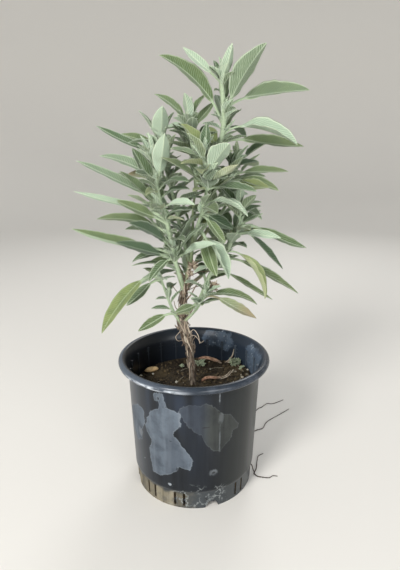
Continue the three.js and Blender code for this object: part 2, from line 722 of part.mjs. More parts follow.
function growAll() {
  const trunkBit = 1;
  const trunkRings = stemRings(TRUNK_PATH, 0, 1, 10, 8, trunkRadius);
  take(stemPoints(trunkRings), trunkBit);
  const parts = [solid(...skin(lids(trunkRings)))];
  for (const strip of STRIPS) {
    const radius = (t) => mix(0.9, 0.5, t);
    take(stemPoints(stemRings(strip, 0, 1, 3, 3, radius, [0, 0.6, 0.8])), trunkBit);
    parts.push(stem(strip, 0, 1, 8, 3, radius, [0, 0.6, 0.8]));
  }
  const shoots = Object.entries(STEMS).map(([name, { path, radius, stub, leaves, rule }], i) => {
    const bit = 2 << i;
    const length = pathLength(path);
    const thick = (t) => mix(radius[0], radius[1], t);
    const cut = stub / length;
    parts.push(stem(path, 0, cut, 9, 4, (t) => thick(t) + 0.25));
    const rings = stemRings(path, cut + CLEAR / length, 1, 12, 4, thick);
    take(stemPoints(rings), bit);
    return { name, path, bit, leaves, rule, solids: [solid(...skin(lids(rings)))] };
  });
  for (const byHand of [true, false]) {
    for (const shoot of shoots) {
      const rows = byHand ? shoot.leaves : ruleLeaves(shoot.rule);
      for (const leaf of rows) {
        const stations = bentClear(along(shoot.path, leaf[0]), leaf, shoot.bit);
        if (!stations) continue;
        take(bladePoints(stations, 0), shoot.bit);
        shoot.solids.push(blade(stations));
      }
    }
  }
  return { trunk: joined(parts), shoots };
}

// Soil: a heap of loam, uneven on top, with a plain hole for the trunk
const soilTop = (x, y) => SOIL_LEVEL + 1.2 * Math.sin(x / 17 + 1) * Math.cos(y / 13)
  + 0.6 * Math.sin(x / 6 - y / 9) + 2.2 * Math.exp(-((x + 1) ** 2 + (y + 8) ** 2) / 300);

function soil() {
  const floor = FLOOR_LOW + FLOOR_THICK + CLEAR;
  const inner = (z) => innerRadius(z) - CLEAR;
  const rings = [
    [[0, 0, floor]],
    circle(inner(floor), floor, SOIL_SIDES),
    circle(inner(BAND_HEIGHT - 2), BAND_HEIGHT - 2, SOIL_SIDES),
    circle(inner(BAND_HEIGHT), BAND_HEIGHT + 2.5, SOIL_SIDES),
  ];
  for (const share of SOIL_RINGS) {
    const ring = circle(inner(SOIL_LEVEL) * share, 0, SOIL_SIDES);
    rings.push(ring.map(([x, y]) => [x, y, soilTop(x, y)]));
  }
  rings.push([[0, 0, soilTop(0, 0)]]);
  const hole = stem(TRUNK_PATH, 0, 0.25, 8, 8, (t, angle) => trunkRadius(t, angle) + CLEAR + 0.1);
  return solid(...skin(rings)).subtract(hole);
}

// Roots that have grown out of the drain slots and lie on the table
const ROOT_THICK = [0.7, 0.4];
const ROOT_MOUTH = 13;
const ROOTS = {
  root_near: {
    slot: -8.7,
    lies: [[77, -10], [80, -3], [82, 8], [84, 16], [86, 22], [93, 27]],
    branch: [[75.5, -12.5], [79, -18], [85, -20], [94, -21], [99, -17.5], [105, -18]],
  },
  root_middle: {
    slot: 42.7,
    lies: [[70, 64], [89, 80], [95, 83], [101, 87], [107, 100], [115, 109], [130, 122], [150, 140]],
  },
  root_far: {
    slot: 51.3,
    lies: [[66, 88], [84, 116], [101, 141], [106, 144], [117, 156], [127, 156], [146, 168]],
  },
};

function root({ slot, lies, branch }) {
  const drop = [[-0.4, ROOT_MOUTH], [1.6, ROOT_MOUTH], [3.6, ROOT_MOUTH - 2.5], [5, 5], [7, 1]];
  const wall = bandRadius(ROOT_MOUTH) - WALL + 0.6;
  const out = drop.map(([r, z]) => add(scale(heading(slot), wall + r), [0, 0, z]));
  const thick = (t) => mix(...ROOT_THICK, t);
  const onTable = (points) => points.map(([x, y], i) => [x, y, thick(i / points.length)]);
  const upright = [0.01, 0.02, 1];
  const parts = [stem([...out, ...onTable(lies)], 0, 1, 7, 4, thick, upright)];
  if (branch) parts.push(stem(onTable(branch), 0, 1, 7, 4, thick, upright));
  return joined(parts);
}

// Litter on the soil: curled dry leaves, a pale flake and a small weed
const DRY_LEAVES = {
  dry_leaf_back: {
    spine: [[5, 66, 1], [16, 63, 2.4], [28, 58, 1.5], [38, 52, 1], [45, 49, 3.5], [49, 47, 8]],
    half: 4.2,
  },
  dry_leaf_front: {
    spine: [[9, -2, 3.5], [18, 1, 5], [28, 4, 3.5], [36, 11, 2.6], [42, 18, 2.6], [46, 24, 4]],
    half: 3.6,
  },
};

function dryLeaf({ spine, half }) {
  const points = spine.map(([x, y, z]) => [x, y, SOIL_LEVEL + z]);
  const thin = 0.45;
  const count = 7;
  const rings = [];
  for (let i = 0; i <= count; i++) {
    const t = i / count;
    const centre = along(points, t);
    const side = unit(cross([0, 0, 1], pathAhead(points, t)));
    const wide = Math.max(0.8, half * Math.sin(Math.PI * Math.min(1, t + 0.12)) ** 0.8);
    const curl = 0.35 * wide;
    rings.push([
      add(add(centre, scale(side, -wide)), [0, 0, curl + thin]),
      add(centre, [0, 0, thin]),
      add(add(centre, scale(side, wide)), [0, 0, curl + thin]),
      add(add(centre, scale(side, wide)), [0, 0, curl - thin]),
      add(centre, [0, 0, -thin]),
      add(add(centre, scale(side, -wide)), [0, 0, curl - thin]),
    ]);
  }
  return solid(...skin(lids(rings)));
}

const FLAKE_AT = [-56, 33];
const FLAKE_OUTLINE = [[-9, -3], [-6, 5], [1, 7], [8, 4], [9, -2], [3, -6], [-4, -6]];

function flake() {
  const ring = (grow, z) => FLAKE_OUTLINE.map(([x, y]) => [
    FLAKE_AT[0] + x * grow, FLAKE_AT[1] + y * grow, SOIL_LEVEL + z + 0.1 * x]);
  return solid(...skin(lids([ring(0.86, 1.15), ring(1, 2.4), ring(0.8, 3.8)])));
}

const WEED_AT = [50, 40];

function weed() {
  const foot = [...WEED_AT, SOIL_LEVEL + 1.2];
  const top = add(foot, [1, -1, 6]);
  const parts = [stem([foot, top], 0, 1, 6, 4, () => 0.7)];
  for (const [azimuth, rise] of [[10, 25], [130, 35], [250, 40]]) {
    parts.push(blade(bladeStations(top, [1, azimuth, rise, 11, 6, 30, 0])));
  }
  return joined(parts);
}

place('pot', pot(), '#2b333d', 0.35);
const { trunk, shoots } = growAll();
place('soil', soil(), '#4a3a2b', 0.95);
place('trunk', trunk, '#77695c', 0.9);
for (const { name, solids } of shoots) place(name, joined(solids), '#93a184', 0.85);
for (const [name, measures] of Object.entries(ROOTS)) place(name, root(measures), '#3b2a1d', 0.9);
for (const [name, measures] of Object.entries(DRY_LEAVES)) place(name, dryLeaf(measures), '#8a6a45', 0.9);
place('flake', flake(), '#a08768', 0.9);
place('weed', weed(), '#6f8f4e', 0.8);

export default plant;
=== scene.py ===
# A sage bush in a plastic nursery pot: the fine pieces and their looks. Points in millimetres
# until a mesh is made, +Z up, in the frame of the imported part. Headings are degrees seen from
# above: 0 is +X, 90 is +Y (away), -90 is the front.
import math
from collections import namedtuple

import bpy
import numpy as np
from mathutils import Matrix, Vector, noise


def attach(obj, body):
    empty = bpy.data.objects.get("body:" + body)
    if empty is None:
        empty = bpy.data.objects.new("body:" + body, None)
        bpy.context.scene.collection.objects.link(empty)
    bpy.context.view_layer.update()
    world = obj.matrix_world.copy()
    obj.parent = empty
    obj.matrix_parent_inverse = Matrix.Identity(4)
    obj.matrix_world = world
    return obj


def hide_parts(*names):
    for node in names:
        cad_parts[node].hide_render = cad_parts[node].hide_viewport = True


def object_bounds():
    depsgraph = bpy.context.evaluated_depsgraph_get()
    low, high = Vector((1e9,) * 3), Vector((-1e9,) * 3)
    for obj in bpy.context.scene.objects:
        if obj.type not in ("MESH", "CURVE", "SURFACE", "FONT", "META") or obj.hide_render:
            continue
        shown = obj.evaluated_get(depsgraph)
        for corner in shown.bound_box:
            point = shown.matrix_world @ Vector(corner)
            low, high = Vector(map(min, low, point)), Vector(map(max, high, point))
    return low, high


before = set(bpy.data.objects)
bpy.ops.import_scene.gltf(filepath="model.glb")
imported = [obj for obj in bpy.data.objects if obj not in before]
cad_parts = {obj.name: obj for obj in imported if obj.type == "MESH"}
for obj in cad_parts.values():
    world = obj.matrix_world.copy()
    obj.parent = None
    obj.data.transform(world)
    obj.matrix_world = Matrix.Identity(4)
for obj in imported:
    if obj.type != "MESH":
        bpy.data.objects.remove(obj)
box_at_load = [list(corner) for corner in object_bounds()]

MM = 0.001

# Pot: its wall, rim, lower band and raised floor
POT_HEIGHT = 161
RIM_RADIUS = 90
RIM_ROLL = 4.3
BODY_TOP = 79
BODY_FOOT = 73.2
FOOT_RADIUS = 71.5
BAND_HEIGHT = 24
BAND_STEP = 1.7
RIM_DEPTH = 8.5
WALL = 2
FLOOR_LOW = 8
FLOOR_THICK = 2.5
PAD_RADIUS = 10
# Pairs of drain slots and single notches in the foot, by the headings of their middles
SLOT_WIDTH = 3
SLOT_LOW = 3
SLOT_HIGH = 20
SLOT_SPREAD = 4.3
SLOT_PAIRS = [-133, -103, -43, -13, 47, 77, 137, 167]
NOTCHES = [-73, 17, 107, 197]
# Half a notch's width in degrees, at the foot and at its top
NOTCH_HALF = [6.4, 3.6]
NOTCH_HEIGHT = 7.5
SOIL_LEVEL = 120
# The gap between neighbouring pieces
CLEAR = 0.3

# Leaves, as in the part. The stalk: half its width, its share of a young and of a grown leaf,
# the rise in degrees that it makes up for, and how much of that
BLADE_UP = 0.5
PETIOLE_HALF = 1.1
PETIOLE_SHARE = [0.12, 0.27]
PETIOLE_RISE = 62
PETIOLE_BEND = 0.75
# Degrees that each half is folded up, waves of the edge and the blade's width beside its row's
BLADE_FOLD = 26
EDGE_WAVE = 0.06
REAL_WIDTH = 1.28
# Steps of the midrib, and those at which long, middling and short leaves of the part have points
MIDRIB_STEPS = 24
LONG_STATIONS = [0, 6, 10, 14, 19, 24]
MIDDLE_STATIONS = [0, 5, 10, 16, 24]
SHORT_STATIONS = [0, 7, 14, 24]
LONG_LEAF = 54
SHORT_LEAF = 38
# The grid of cells that keeps leaves apart: cell size, distance of test points, corner, counts
CELL = 2
SAMPLE = 1.5
GRID_LOW = np.array([-190, -190, 90])
GRID_SIZE = [190, 190, 220]
# Degrees that a leaf may turn to clear other stems, and the most to clear its own stem's too
TURN_RINGS = [5, 10, 16, 23, 31, 40]
NEAR_TURN = 10

# Smaller leaves that only this script has
FILL_TRIES = 700
FILL_LENGTHS = [18, 54]
# Stems with room for fewer of them: highest share of the stem, greatest length
FILL_LIMITS = {"crown": [0.34, 40], "top_left": [0.8, 34], "left": [0.9, 46],
               "right_low": [0.9, 19], "left_low": [0.9, 19]}

UP = np.array([0.0, 0.0, 1.0])


def mix(a, b, k):
    """From a to b by share k."""
    return a + (b - a) * k


def clamp(x):
    return np.minimum(1, np.maximum(0, x))


def heading(degrees):
    """The level direction of a heading."""
    a = math.radians(degrees)
    return np.array([math.cos(a), math.sin(a), 0.0])


def unit(a):
    a = np.asarray(a, float)
    return a / np.linalg.norm(a, axis=-1, keepdims=True)


def draws(seed):
    """Seeded draws between 0 and 1, the same as the part's."""
    state = seed & 0xFFFFFFFF

    def draw():
        nonlocal state
        state = (state + 0x6D2B79F5) & 0xFFFFFFFF
        t = state
        t = ((t ^ (t >> 15)) * (t | 1)) & 0xFFFFFFFF
        t ^= (t + (((t ^ (t >> 7)) * (t | 61)) & 0xFFFFFFFF)) & 0xFFFFFFFF
        return ((t ^ (t >> 14)) & 0xFFFFFFFF) / 4294967296

    return draw


def along(points, t):
    """A point at share t of a smooth curve through a list of points."""
    points = [np.asarray(p, float) for p in points]
    spans = len(points) - 1
    i = min(int(math.floor(t * spans)), spans - 1)
    u = t * spans - i
    b, c = points[i], points[i + 1]
    a = points[i - 1] if i > 0 else b * 2 - c
    d = points[i + 2] if i < spans - 1 else c * 2 - b
    return 0.5 * (2 * b + (c - a) * u + (2 * a - 5 * b + 4 * c - d) * u * u
                  + (3 * b - a - 3 * c + d) * u * u * u)


def path_ahead(points, t):
    return unit(along(points, min(1, t + 0.01)) - along(points, max(0, t - 0.01)))


def path_length(points):
    return sum(np.linalg.norm(np.subtract(b, a)) for a, b in zip(points, points[1:]))


# Trunk, and the shares of its path between which it is shredded
TRUNK_PATH = [
    [-1, -8, 72], [-1, -8, 98], [-1, -8, 126], [-3, -7, 150], [-6, -6, 173], [-10, -6, 189],
    [-14, -5, 204], [-13, -4, 222], [-11, -3, 240], [-7, -1, 258], [-3, 1, 276], [-1, 5, 303],
    [0, 10, 336], [7, 12, 371],
]
BARK_FROM = 0.2
BARK_TO = 0.62

# Strips of bark that have come loose and curl away from the trunk
STRIPS = [
    [[-12, -8, 196], [-17, -11, 191], [-21, -12, 186], [-18, -12, 181], [-10, -9, 182]],
    [[-6, -9, 184], [0, -12, 188], [5, -13, 184], [8, -12, 179], [12, -11, 181]],
    [[-5, -9, 190], [0, -12, 195], [5, -12, 188], [7, -13, 178]],
    [[-9, -9, 205], [-7, -13, 200], [-5, -13, 192], [-2, -11, 187]],
]

# The leafy stems. A leaf row holds: share of the stem, heading and rise of the straight line
# from foot to tip, its length, the blade's width, how far the midrib bends over, how far the
# top face is turned to the right, how far each half is folded up where that isn't the usual
# angle, and a letter for its tone where it isn't the usual one: p pale, w white felt, d dark
# with painted shade, l fresh light green, y yellowed, c cream, b browned, o olive, v yellow
# olive, g dull yellow green. With a second letter n, painted light makes the front half pale.
STEMS = {
    "crown": {
        "path": [[7, 12, 371], [20, 9, 388], [29, 5, 402], [32, 0, 421], [31, -3, 440],
                 [29, -5, 462], [29, -5, 467]],
        "radius": [2.6, 1.8], "stub": 3,
        "leaves": [
            [0.46, 160, 46, 104, 18, 40, -45, 36],
            [0.54, -36, 54, 80, 20, 25, -25],
            [0.78, -60, 64, 40, 10, -10, -10, "p"],
            [0.8, 145, 35, 60, 9, -10, -50, "p"],
            [0.9, -150, 70, 18, 6, 10, 0, "p"],
            [0.6, 13, 14, 98, 20, 10, 48, 38],
            [0.38, -18, -6, 80, 20, 40, 30, 45, "pn"],
            [0.3, 17, 0, 102, 16, -10, 50, 36, "o"],
            [0.6, -50, 42, 16, 6, 10, 0, "p"],
            [0.54, -45, 30, 16, 6, 10, 0, "p"],
            [0.45, -166, 14, 24, 8, 20, 0, "p"],
            [0.46, 46, -14, 40, 12, 30, 0, "d"],
            [0.54, 150, 18, 16, 6, 10, 0, "p"],
            [0.88, 180, 42, 16, 6, 10, 0, "p"],
            [0.84, -120, 35, 14, 6, 10, 0, "p"],
            [0.97, 70, 70, 14, 6, 10, 0, "p"],
        ],
        "rule": {"seed": 11, "from": 0.34, "to": 0.74, "count": 4, "sector": [60, 130],
                 "length": [62, 40], "rise": 24},
    },
    "left": {
        "path": [[-11, -4, 240], [-21, -11, 278], [-27, -15, 313], [-35, -18, 343],
                 [-39, -20, 369], [-41, -20, 386]],
        "radius": [2.4, 1.2], "stub": 11,
        "leaves": [
            [0.72, -65, 62, 55, 17, -15, -10, 32, "p"],
            [0.92, -125, 76, 32, 7, 5, 0, "p"],
            [0.92, 135, 54, 36, 6, 15, -10, "p"],
            [0.7, 160, 25, 74, 12, 30, -35],
            [0.54, 180, 29, 100, 12, 0, -35],
            [0.7, 142, 12, 48, 10, 40, -40, "b"],
            [0.5, -166, 34, 64, 13, 0, -40],
            [0.45, 169, 16, 108, 9, -10, -35, "p"],
            [0.42, -166, 27, 60, 13, -10, -45, "l"],
            [0.53, -34, 10, 42, 10, 35, 35, 20, "wn"],
            [0.33, 174, 14, 84, 13, 30, -35, "o"],
            [0.25, -145, 34, 62, 16, 20, -45, "d"],
            [0.22, 174, 14, 118, 14, -25, -30, "ln"],
            [0.18, -160, 22, 70, 14, -5, -40, "d"],
            [0.18, 165, -3, 52, 12, 50, -35],
            [0.12, 166, 4, 56, 5, 30, -20],
            [0.2, -140, -30, 40, 10, 25, -30, 35],
            [0.45, 30, -38, 28, 10, 10, 20, "d"],
            [0.35, 68, -64, 24, 10, 20, 0, "d"],
            [0.18, -36, 26, 60, 12, 20, 40, "w"],
            [0.2, -15, 45, 50, 11, 20, 15],
            [0.63, 148, 55, 60, 14, 0, -20],
            [0.98, 60, 70, 20, 7, 10, 0, "p"],
        ],
        "rule": {"seed": 12, "from": 0.2, "to": 0.8, "count": 3, "sector": [70, 140],
                 "length": [60, 40], "rise": 20},
    },
    "top_left": {
        "path": [[3, 12, 352], [0, 14, 389], [-4, 12, 415], [-4, 10, 433]],
        "radius": [1.8, 0.9], "stub": 8,
        "leaves": [
            [0.67, 176, 44, 52, 11, 40, -40, 20],
            [0.74, -108, 65, 34, 11, 30, -10, "p"],
            [0.65, 32, 45, 44, 9, -10, 40],
            [0.54, -162, 20, 26, 8, 10, 0],
            [0.95, -60, 75, 18, 6, 0, 0, "p"],
            [0.95, 120, 65, 22, 8, 10, 0],
            [0.3, -125, 20, 46, 12, 20, 0],
            [0.4, -50, 22, 44, 12, 20, 0],
            [0.52, -85, 35, 36, 11, 15, 0],
        ],
        "rule": {"seed": 13, "from": 0.25, "to": 0.8, "count": 3, "sector": [20, 130],
                 "length": [60, 42], "rise": 22},
    },
    "centre": {
        "path": [[0, 3, 292], [5, -8, 315], [10, -15, 333], [14, -20, 354], [14, -25, 374],
                 [12, -26, 394]],
        "radius": [1.9, 1], "stub": 8,
        "leaves": [
            [0.7, -55, 44, 50, 18, 25, -25, "p"],
            [0.87, 147, 51, 50, 14, 30, -20, 30, "v"],
            [0.85, -141, 52, 38, 14, 10, -10],
            [0.92, -96, 72, 16, 6, 5, 0, "p"],
            [0.61, -150, 31, 60, 12, 10, -40, "o"],
            [0.63, -32, 32, 42, 10, 0, -30, 16, "c"],
            [0.41, -33, -5, 54, 13, 55, -5, 44, "pn"],
            [0.52, -156, 5, 18, 6, 10, 0, "d"],
            [0.87, -160, 20, 40, 12, 10, -25],
            [0.6, -120, 0, 28, 8, 15, 0, "y"],
            [0.16, -51, -54, 58, 15, -20, 50, 33, "l"],
            [0.1, -48, -38, 66, 20, 10, -10, 46, "pn"],
            [0.32, -48, -33, 45, 10, -15, 20, "l"],
            [0.35, -15, -24, 38, 13, -20, 45, "d"],
            [0.98, 30, 70, 18, 7, 5, 0, "p"],
        ],
        "rule": {"seed": 14, "from": 0.4, "to": 0.9, "count": 2, "sector": [20, 150],
                 "length": [50, 36], "rise": 28},
    },
    "right": {
        "path": [[-8, -6, 214], [6, -10, 230], [16, -12, 256], [26, -14, 276], [36, -15, 287],
                 [43, -14, 301], [50, -11, 315], [50, -8, 337]],
        "radius": [2, 1], "stub": 9,
        "leaves": [
            [0.75, -16, 0, 50, 10, 0, 42, "pn"],
            [0.85, 8, -18, 82, 12, -25, 45],
            [0.87, -20, 27, 28, 6, -15, 35],
            [0.78, 23, -36, 77, 12, -10, 45, "d"],
            [0.51, -20, -42, 66, 15, 60, 0, 46, "yn"],
            [0.41, 11, -22, 107, 12, 5, 38, "o"],
            [0.33, 14, -26, 84, 9, -15, 35, "o"],
            [0.38, -138, 2, 26, 9, 20, 0, "p"],
            [0.99, -84, 76, 24, 8, 0, 0, "p"],
            [0.93, 30, 18, 30, 10, 20, 10],
        ],
        "rule": {"seed": 15, "from": 0.3, "to": 0.95, "count": 4, "sector": [50, 120],
                 "length": [60, 40], "rise": 18},
    },
    "left_high": {
        "path": [[-4, 0, 265], [-16, 12, 313], [-26, 14, 357], [-33, 12, 386], [-36, 10, 407]],
        "radius": [2, 1], "stub": 9,
        "leaves": [
            [0.9, -78, 56, 42, 17, -10, 15, "p"],
            [0.98, -135, 42, 18, 9, 5, 0, "p"],
            [0.9, 25, 50, 38, 12, 20, 0],
            [0.73, 174, 26, 82, 10, -20, -40],
            [0.83, 150, 18, 64, 10, 0, -40],
            [0.98, 80, 70, 20, 8, 5, 0],
            [0.73, 156, 3, 40, 13, 10, -20, "d"],
            [0.7, -38, 55, 34, 10, 10, 0],
            [0.35, -30, 25, 46, 12, 20, 0],
            [0.45, -75, 30, 44, 12, 20, 0],
            [0.55, -25, 30, 44, 12, 20, 0],
            [0.6, -95, 25, 42, 12, 20, 0],
        ],
        "rule": {"seed": 16, "from": 0.3, "to": 0.85, "count": 4, "sector": [60, 190],
                 "length": [62, 45], "rise": 20},
    },
    "right_high": {
        "path": [[-1, 6, 296], [16, 14, 316], [32, 20, 346], [40, 22, 365], [45, 24, 380]],
        "radius": [1.8, 0.9], "stub": 8,
        "leaves": [
            [0.72, 7, 7, 70, 12, 5, 36, "o"],
            [0.63, -19, -5, 60, 14, 20, 36, "o"],
            [0.55, -28, 5, 54, 16, 0, 42, "v"],
            [0.5, 25, 8, 60, 11, 30, 20, "d"],
            [0.89, 25, 14, 36, 11, 20, 20, "d"],
            [0.93, -10, 54, 30, 10, 10, 0],
            [0.97, 150, 65, 22, 8, 5, 0],
            [0.35, -85, 15, 42, 12, 20, 0, "d"],
            [0.75, -60, 40, 34, 10, 10, 0],
        ],
        "rule": {"seed": 17, "from": 0.4, "to": 0.9, "count": 4, "sector": [50, 130],
                 "length": [58, 40], "rise": 20},
    },
    "right_low": {
        "path": [[-10, -9, 205], [1, -17, 219], [8, -20, 230], [15, -21, 243]],
        "radius": [1.5, 0.9], "stub": 8,
        "leaves": [
            [0.6, 7, -2, 66, 11, 60, 30, "o"],
            [0.85, -16, -18, 62, 12, -10, 30, "b"],
            [0.6, -134, 0, 38, 9, -15, -35, "l"],
            [0.97, 60, 70, 16, 6, 5, 0],
            [0.97, -110, 55, 16, 6, 5, 0],
        ],
    },
    "left_low": {
        "path": [[-14, -6, 199], [-23, -12, 217], [-29, -14, 234], [-35, -14, 252],
                 [-40, -13, 264]],
        "radius": [1.6, 0.9], "stub": 10,
        "leaves": [
            [0.8, -166, -34, 48, 10, -15, -50],
            [0.8, -146, -33, 87, 14, 34, -33, "g"],
            [0.2, -163, -20, 46, 10, 0, -50, "l"],
            [0.5, -163, 0, 14, 6, 10, 0],
            [0.47, -80, 60, 20, 6, 5, 0],
            [0.41, -25, 50, 24, 7, 5, 0],
            [0.3, -170, 5, 24, 7, 10, -20],
        ],
        "rule": {"seed": 18, "from": 0.5, "to": 0.9, "count": 3, "sector": [80, 170],
                 "length": [45, 36], "rise": 5},
    },
    "back_left": {
        "path": [[-9, -2, 249], [-22, 16, 270], [-38, 34, 298], [-48, 46, 328], [-52, 52, 354]],
        "radius": [2.1, 1], "stub": 10, "leaves": [],
        "rule": {"seed": 19, "from": 0.28, "to": 0.98, "count": 8, "pairs": 74,
                 "length": [66, 26], "rise": 24},
    },
    "back_right": {
        "path": [[-2, 3, 287], [16, 20, 306], [36, 36, 330], [48, 46, 360], [52, 50, 384]],
        "radius": [2, 1], "stub": 9, "leaves": [],
        "rule": {"seed": 20, "from": 0.28, "to": 0.98, "count": 8, "pairs": 12,
                 "length": [64, 24], "rise": 24},
    },
    "back_high": {
        "path": [[2, 11, 346], [3, 30, 368], [2, 44, 394], [0, 50, 418]],
        "radius": [1.8, 0.9], "stub": 9, "leaves": [],
        "rule": {"seed": 21, "from": 0.3, "to": 0.98, "count": 8, "pairs": 40,
                 "length": [60, 22], "rise": 26},
    },
    "back_low": {
        "path": [[-12, -3, 231], [-10, 20, 246], [-8, 44, 262], [-6, 62, 284], [-6, 72, 310]],
        "radius": [2, 1], "stub": 10, "leaves": [],
        "rule": {"seed": 22, "from": 0.34, "to": 0.98, "count": 8, "pairs": 50,
                 "length": [66, 26], "rise": 18},
    },
    "back_right_low": {
        "path": [[-11, -2, 241], [10, 14, 254], [32, 32, 270], [48, 44, 292], [54, 50, 316]],
        "radius": [1.9, 1], "stub": 11, "leaves": [],
        "rule": {"seed": 23, "from": 0.34, "to": 0.98, "count": 8, "pairs": 20,
                 "length": [62, 24], "rise": 14},
    },
}


Leaf = namedtuple("Leaf", "share azimuth rise length width arch tilt fold tone",
                  defaults=[BLADE_FOLD, ""])


def read_row(row):
    """The leaf of a row, where the fold, the tone or both may be left out."""
    if isinstance(row[-1], str):
        return Leaf(*row[:-1], tone=row[-1])
    return Leaf(*row)


def rule_leaves(rule):
    """Leaves that the table doesn't place, by the rule of their stem."""
    draw = draws(rule["seed"])
    leaves = []
    for i in range(rule["count"]):
        pair = i // 2
        if "sector" in rule:
            azimuth = mix(*rule["sector"], (i * 0.618) % 1)
            share = i / (rule["count"] - 1)
        else:
            azimuth = rule["pairs"] + 90 * pair + 180 * (i % 2)
            share = pair / (math.ceil(rule["count"] / 2) - 1)
        length = mix(*rule["length"], share ** 2) * mix(0.88, 1.1, draw())
        leaves.append(Leaf(
            share=mix(rule["from"], rule["to"], share),
            azimuth=azimuth + mix(-14, 14, draw()),
            rise=rule["rise"] + 34 * share + mix(-9, 9, draw()),
            length=length,
            width=length * mix(0.22, 0.28, draw()),
            arch=mix(20, 55, draw()) * (1 - 0.5 * share),
            tilt=mix(-16, 16, draw())))
    return leaves


def grown(length):
    """0 for a young leaf without a stalk to speak of, 1 for one with a full stalk."""
    return min(1, max(0, (length - 20) / 30))


def midrib(foot, leaf, steps=MIDRIB_STEPS):
    """Points of the midrib with the blade's frame at each: centre, up and right."""
    lift = max(0, PETIOLE_RISE - leaf.rise) * PETIOLE_BEND * grown(leaf.length)

    def slope_at(u):
        return np.radians(leaf.arch * (0.5 - u) + lift * np.maximum(0, 1 - u / 0.36) ** 1.5)

    slopes = slope_at((np.arange(steps) + 0.5) / steps)
    a = np.concatenate([[0], np.cumsum(np.cos(slopes))])
    b = np.concatenate([[0], np.cumsum(np.sin(slopes))])
    turn = math.radians(leaf.rise) - math.atan2(b[-1], a[-1])
    size = leaf.length / math.hypot(a[-1], b[-1])
    out = heading(leaf.azimuth)
    r = (a * math.cos(turn) - b * math.sin(turn)) * size
    z = (a * math.sin(turn) + b * math.cos(turn)) * size
    slope = slope_at(np.arange(steps + 1) / steps) + turn
    ahead = np.cos(slope)[:, None] * out + np.sin(slope)[:, None] * UP
    top = -np.sin(slope)[:, None] * out + np.cos(slope)[:, None] * UP
    right = np.cross(ahead, top)
    roll = math.radians(leaf.tilt)
    centre = np.asarray(foot) + r[:, None] * out + z[:, None] * UP
    up = top * math.cos(roll) + right * math.sin(roll)
    return centre, up, right * math.cos(roll) - top * math.sin(roll)


def half_width(u, width, stalk):
    """Half the width at share u of a leaf whose stalk ends at share stalk."""
    s = (u - stalk) / (1 - stalk)
    rounded = np.sin(math.pi * np.clip(s, 0, 1) ** 0.85).clip(0) ** 0.78
    blade = REAL_WIDTH * width / 2 * rounded
    return np.where(s <= 0, PETIOLE_HALF, np.maximum(PETIOLE_HALF * (1 - s), blade))


def blade_stations(foot, leaf):
    """Left edge, top of the midrib and right edge at the part's own stations."""
    if leaf.length < SHORT_LEAF:
        picked = np.array(SHORT_STATIONS)
    else:
        picked = np.array(MIDDLE_STATIONS if leaf.length < LONG_LEAF else LONG_STATIONS)
    centre, up, right = (a[picked] for a in midrib(foot, leaf))
    stalk = mix(*PETIOLE_SHARE, grown(leaf.length))
    u = picked / MIDRIB_STEPS
    half = half_width(u, leaf.width, stalk)
    blade = clamp((u - stalk) / 0.15)
    fold = np.radians(leaf.fold) * blade
    thin = mix(1, 0.45, u)
    edges = []
    for side in (-1, 1):
        wave = blade * EDGE_WAVE * half * np.sin(17 * u + 1.7 * side + leaf.azimuth)
        edges.append(centre + right * (side * half * np.cos(fold))[:, None]
                     + up * (half * np.sin(fold) + wave)[:, None])
    return edges[0], centre + up * (BLADE_UP * thin)[:, None], edges[1]


# The cells of the room round the plant, each with a bit for every stem that reaches it
taken = np.zeros(GRID_SIZE, np.uint32)
NEAR = np.stack(np.meshgrid(*[[-1, 0, 1]] * 3, indexing="ij"), -1).reshape(-1, 3)


def cells(points):
    return np.floor((points - GRID_LOW) / CELL).astype(int)


def take(points, bit):
    """Marks the cells of these points, and all cells next to them."""
    at = (cells(points)[:, None] + NEAR).reshape(-1, 3)
    taken[at[:, 0], at[:, 1], at[:, 2]] |= np.uint32(bit)


def met(points, own):
    """Whether any of these points is in a cell that something other than own has taken."""
    at = cells(points)
    return bool((taken[at[:, 0], at[:, 1], at[:, 2]] & np.uint32(~own & 0xFFFFFFFF)).any())


def blade_points(stations, first):
    """Points spread over both halves of a blade, from the station called first."""
    left, top, right = stations
    found = []
    for i in range(first, len(top) - 1):
        steps = math.ceil(np.linalg.norm(top[i + 1] - top[i]) / SAMPLE)
        s = (np.arange(steps + 1) / steps)[None, :, None]
        for edge in (left, right):
            width = max(np.linalg.norm(edge[i] - top[i]),
                        np.linalg.norm(edge[i + 1] - top[i + 1]))
            rows = max(1, math.ceil(width / SAMPLE))
            r = (np.arange(rows + 1) / rows)[:, None, None]
            start = top[i] * (1 - r) + edge[i] * r
            end = top[i + 1] * (1 - r) + edge[i + 1] * r
            found.append((start * (1 - s) + end * s).reshape(-1, 3))
    return np.concatenate(found)


# Turns in heading and rise that a leaf may take to come clear, nearest first
TURNS = [(0, 0)]
for ring in TURN_RINGS:
    for h, r in [(0, 1), (1, 0), (-1, 0), (0, -1), (1, 1), (-1, 1), (1, -1), (-1, -1)]:
        TURNS.append((h * ring, r * ring))


def bent_clear(foot, leaf, bit):
    """The leaf bent clear of what is there, as the part does, with its stations."""
    fallback = None
    for h, r in TURNS:
        if fallback and max(abs(h), abs(r)) > NEAR_TURN:
            break
        tried = leaf._replace(azimuth=leaf.azimuth + h, rise=leaf.rise + r)
        stations = blade_stations(foot, tried)
        if met(blade_points(stations, 0), bit):
            continue
        if not met(blade_points(stations, 2), 0):
            return tried, stations
        fallback = fallback or (tried, stations)
    return fallback or (None, None)


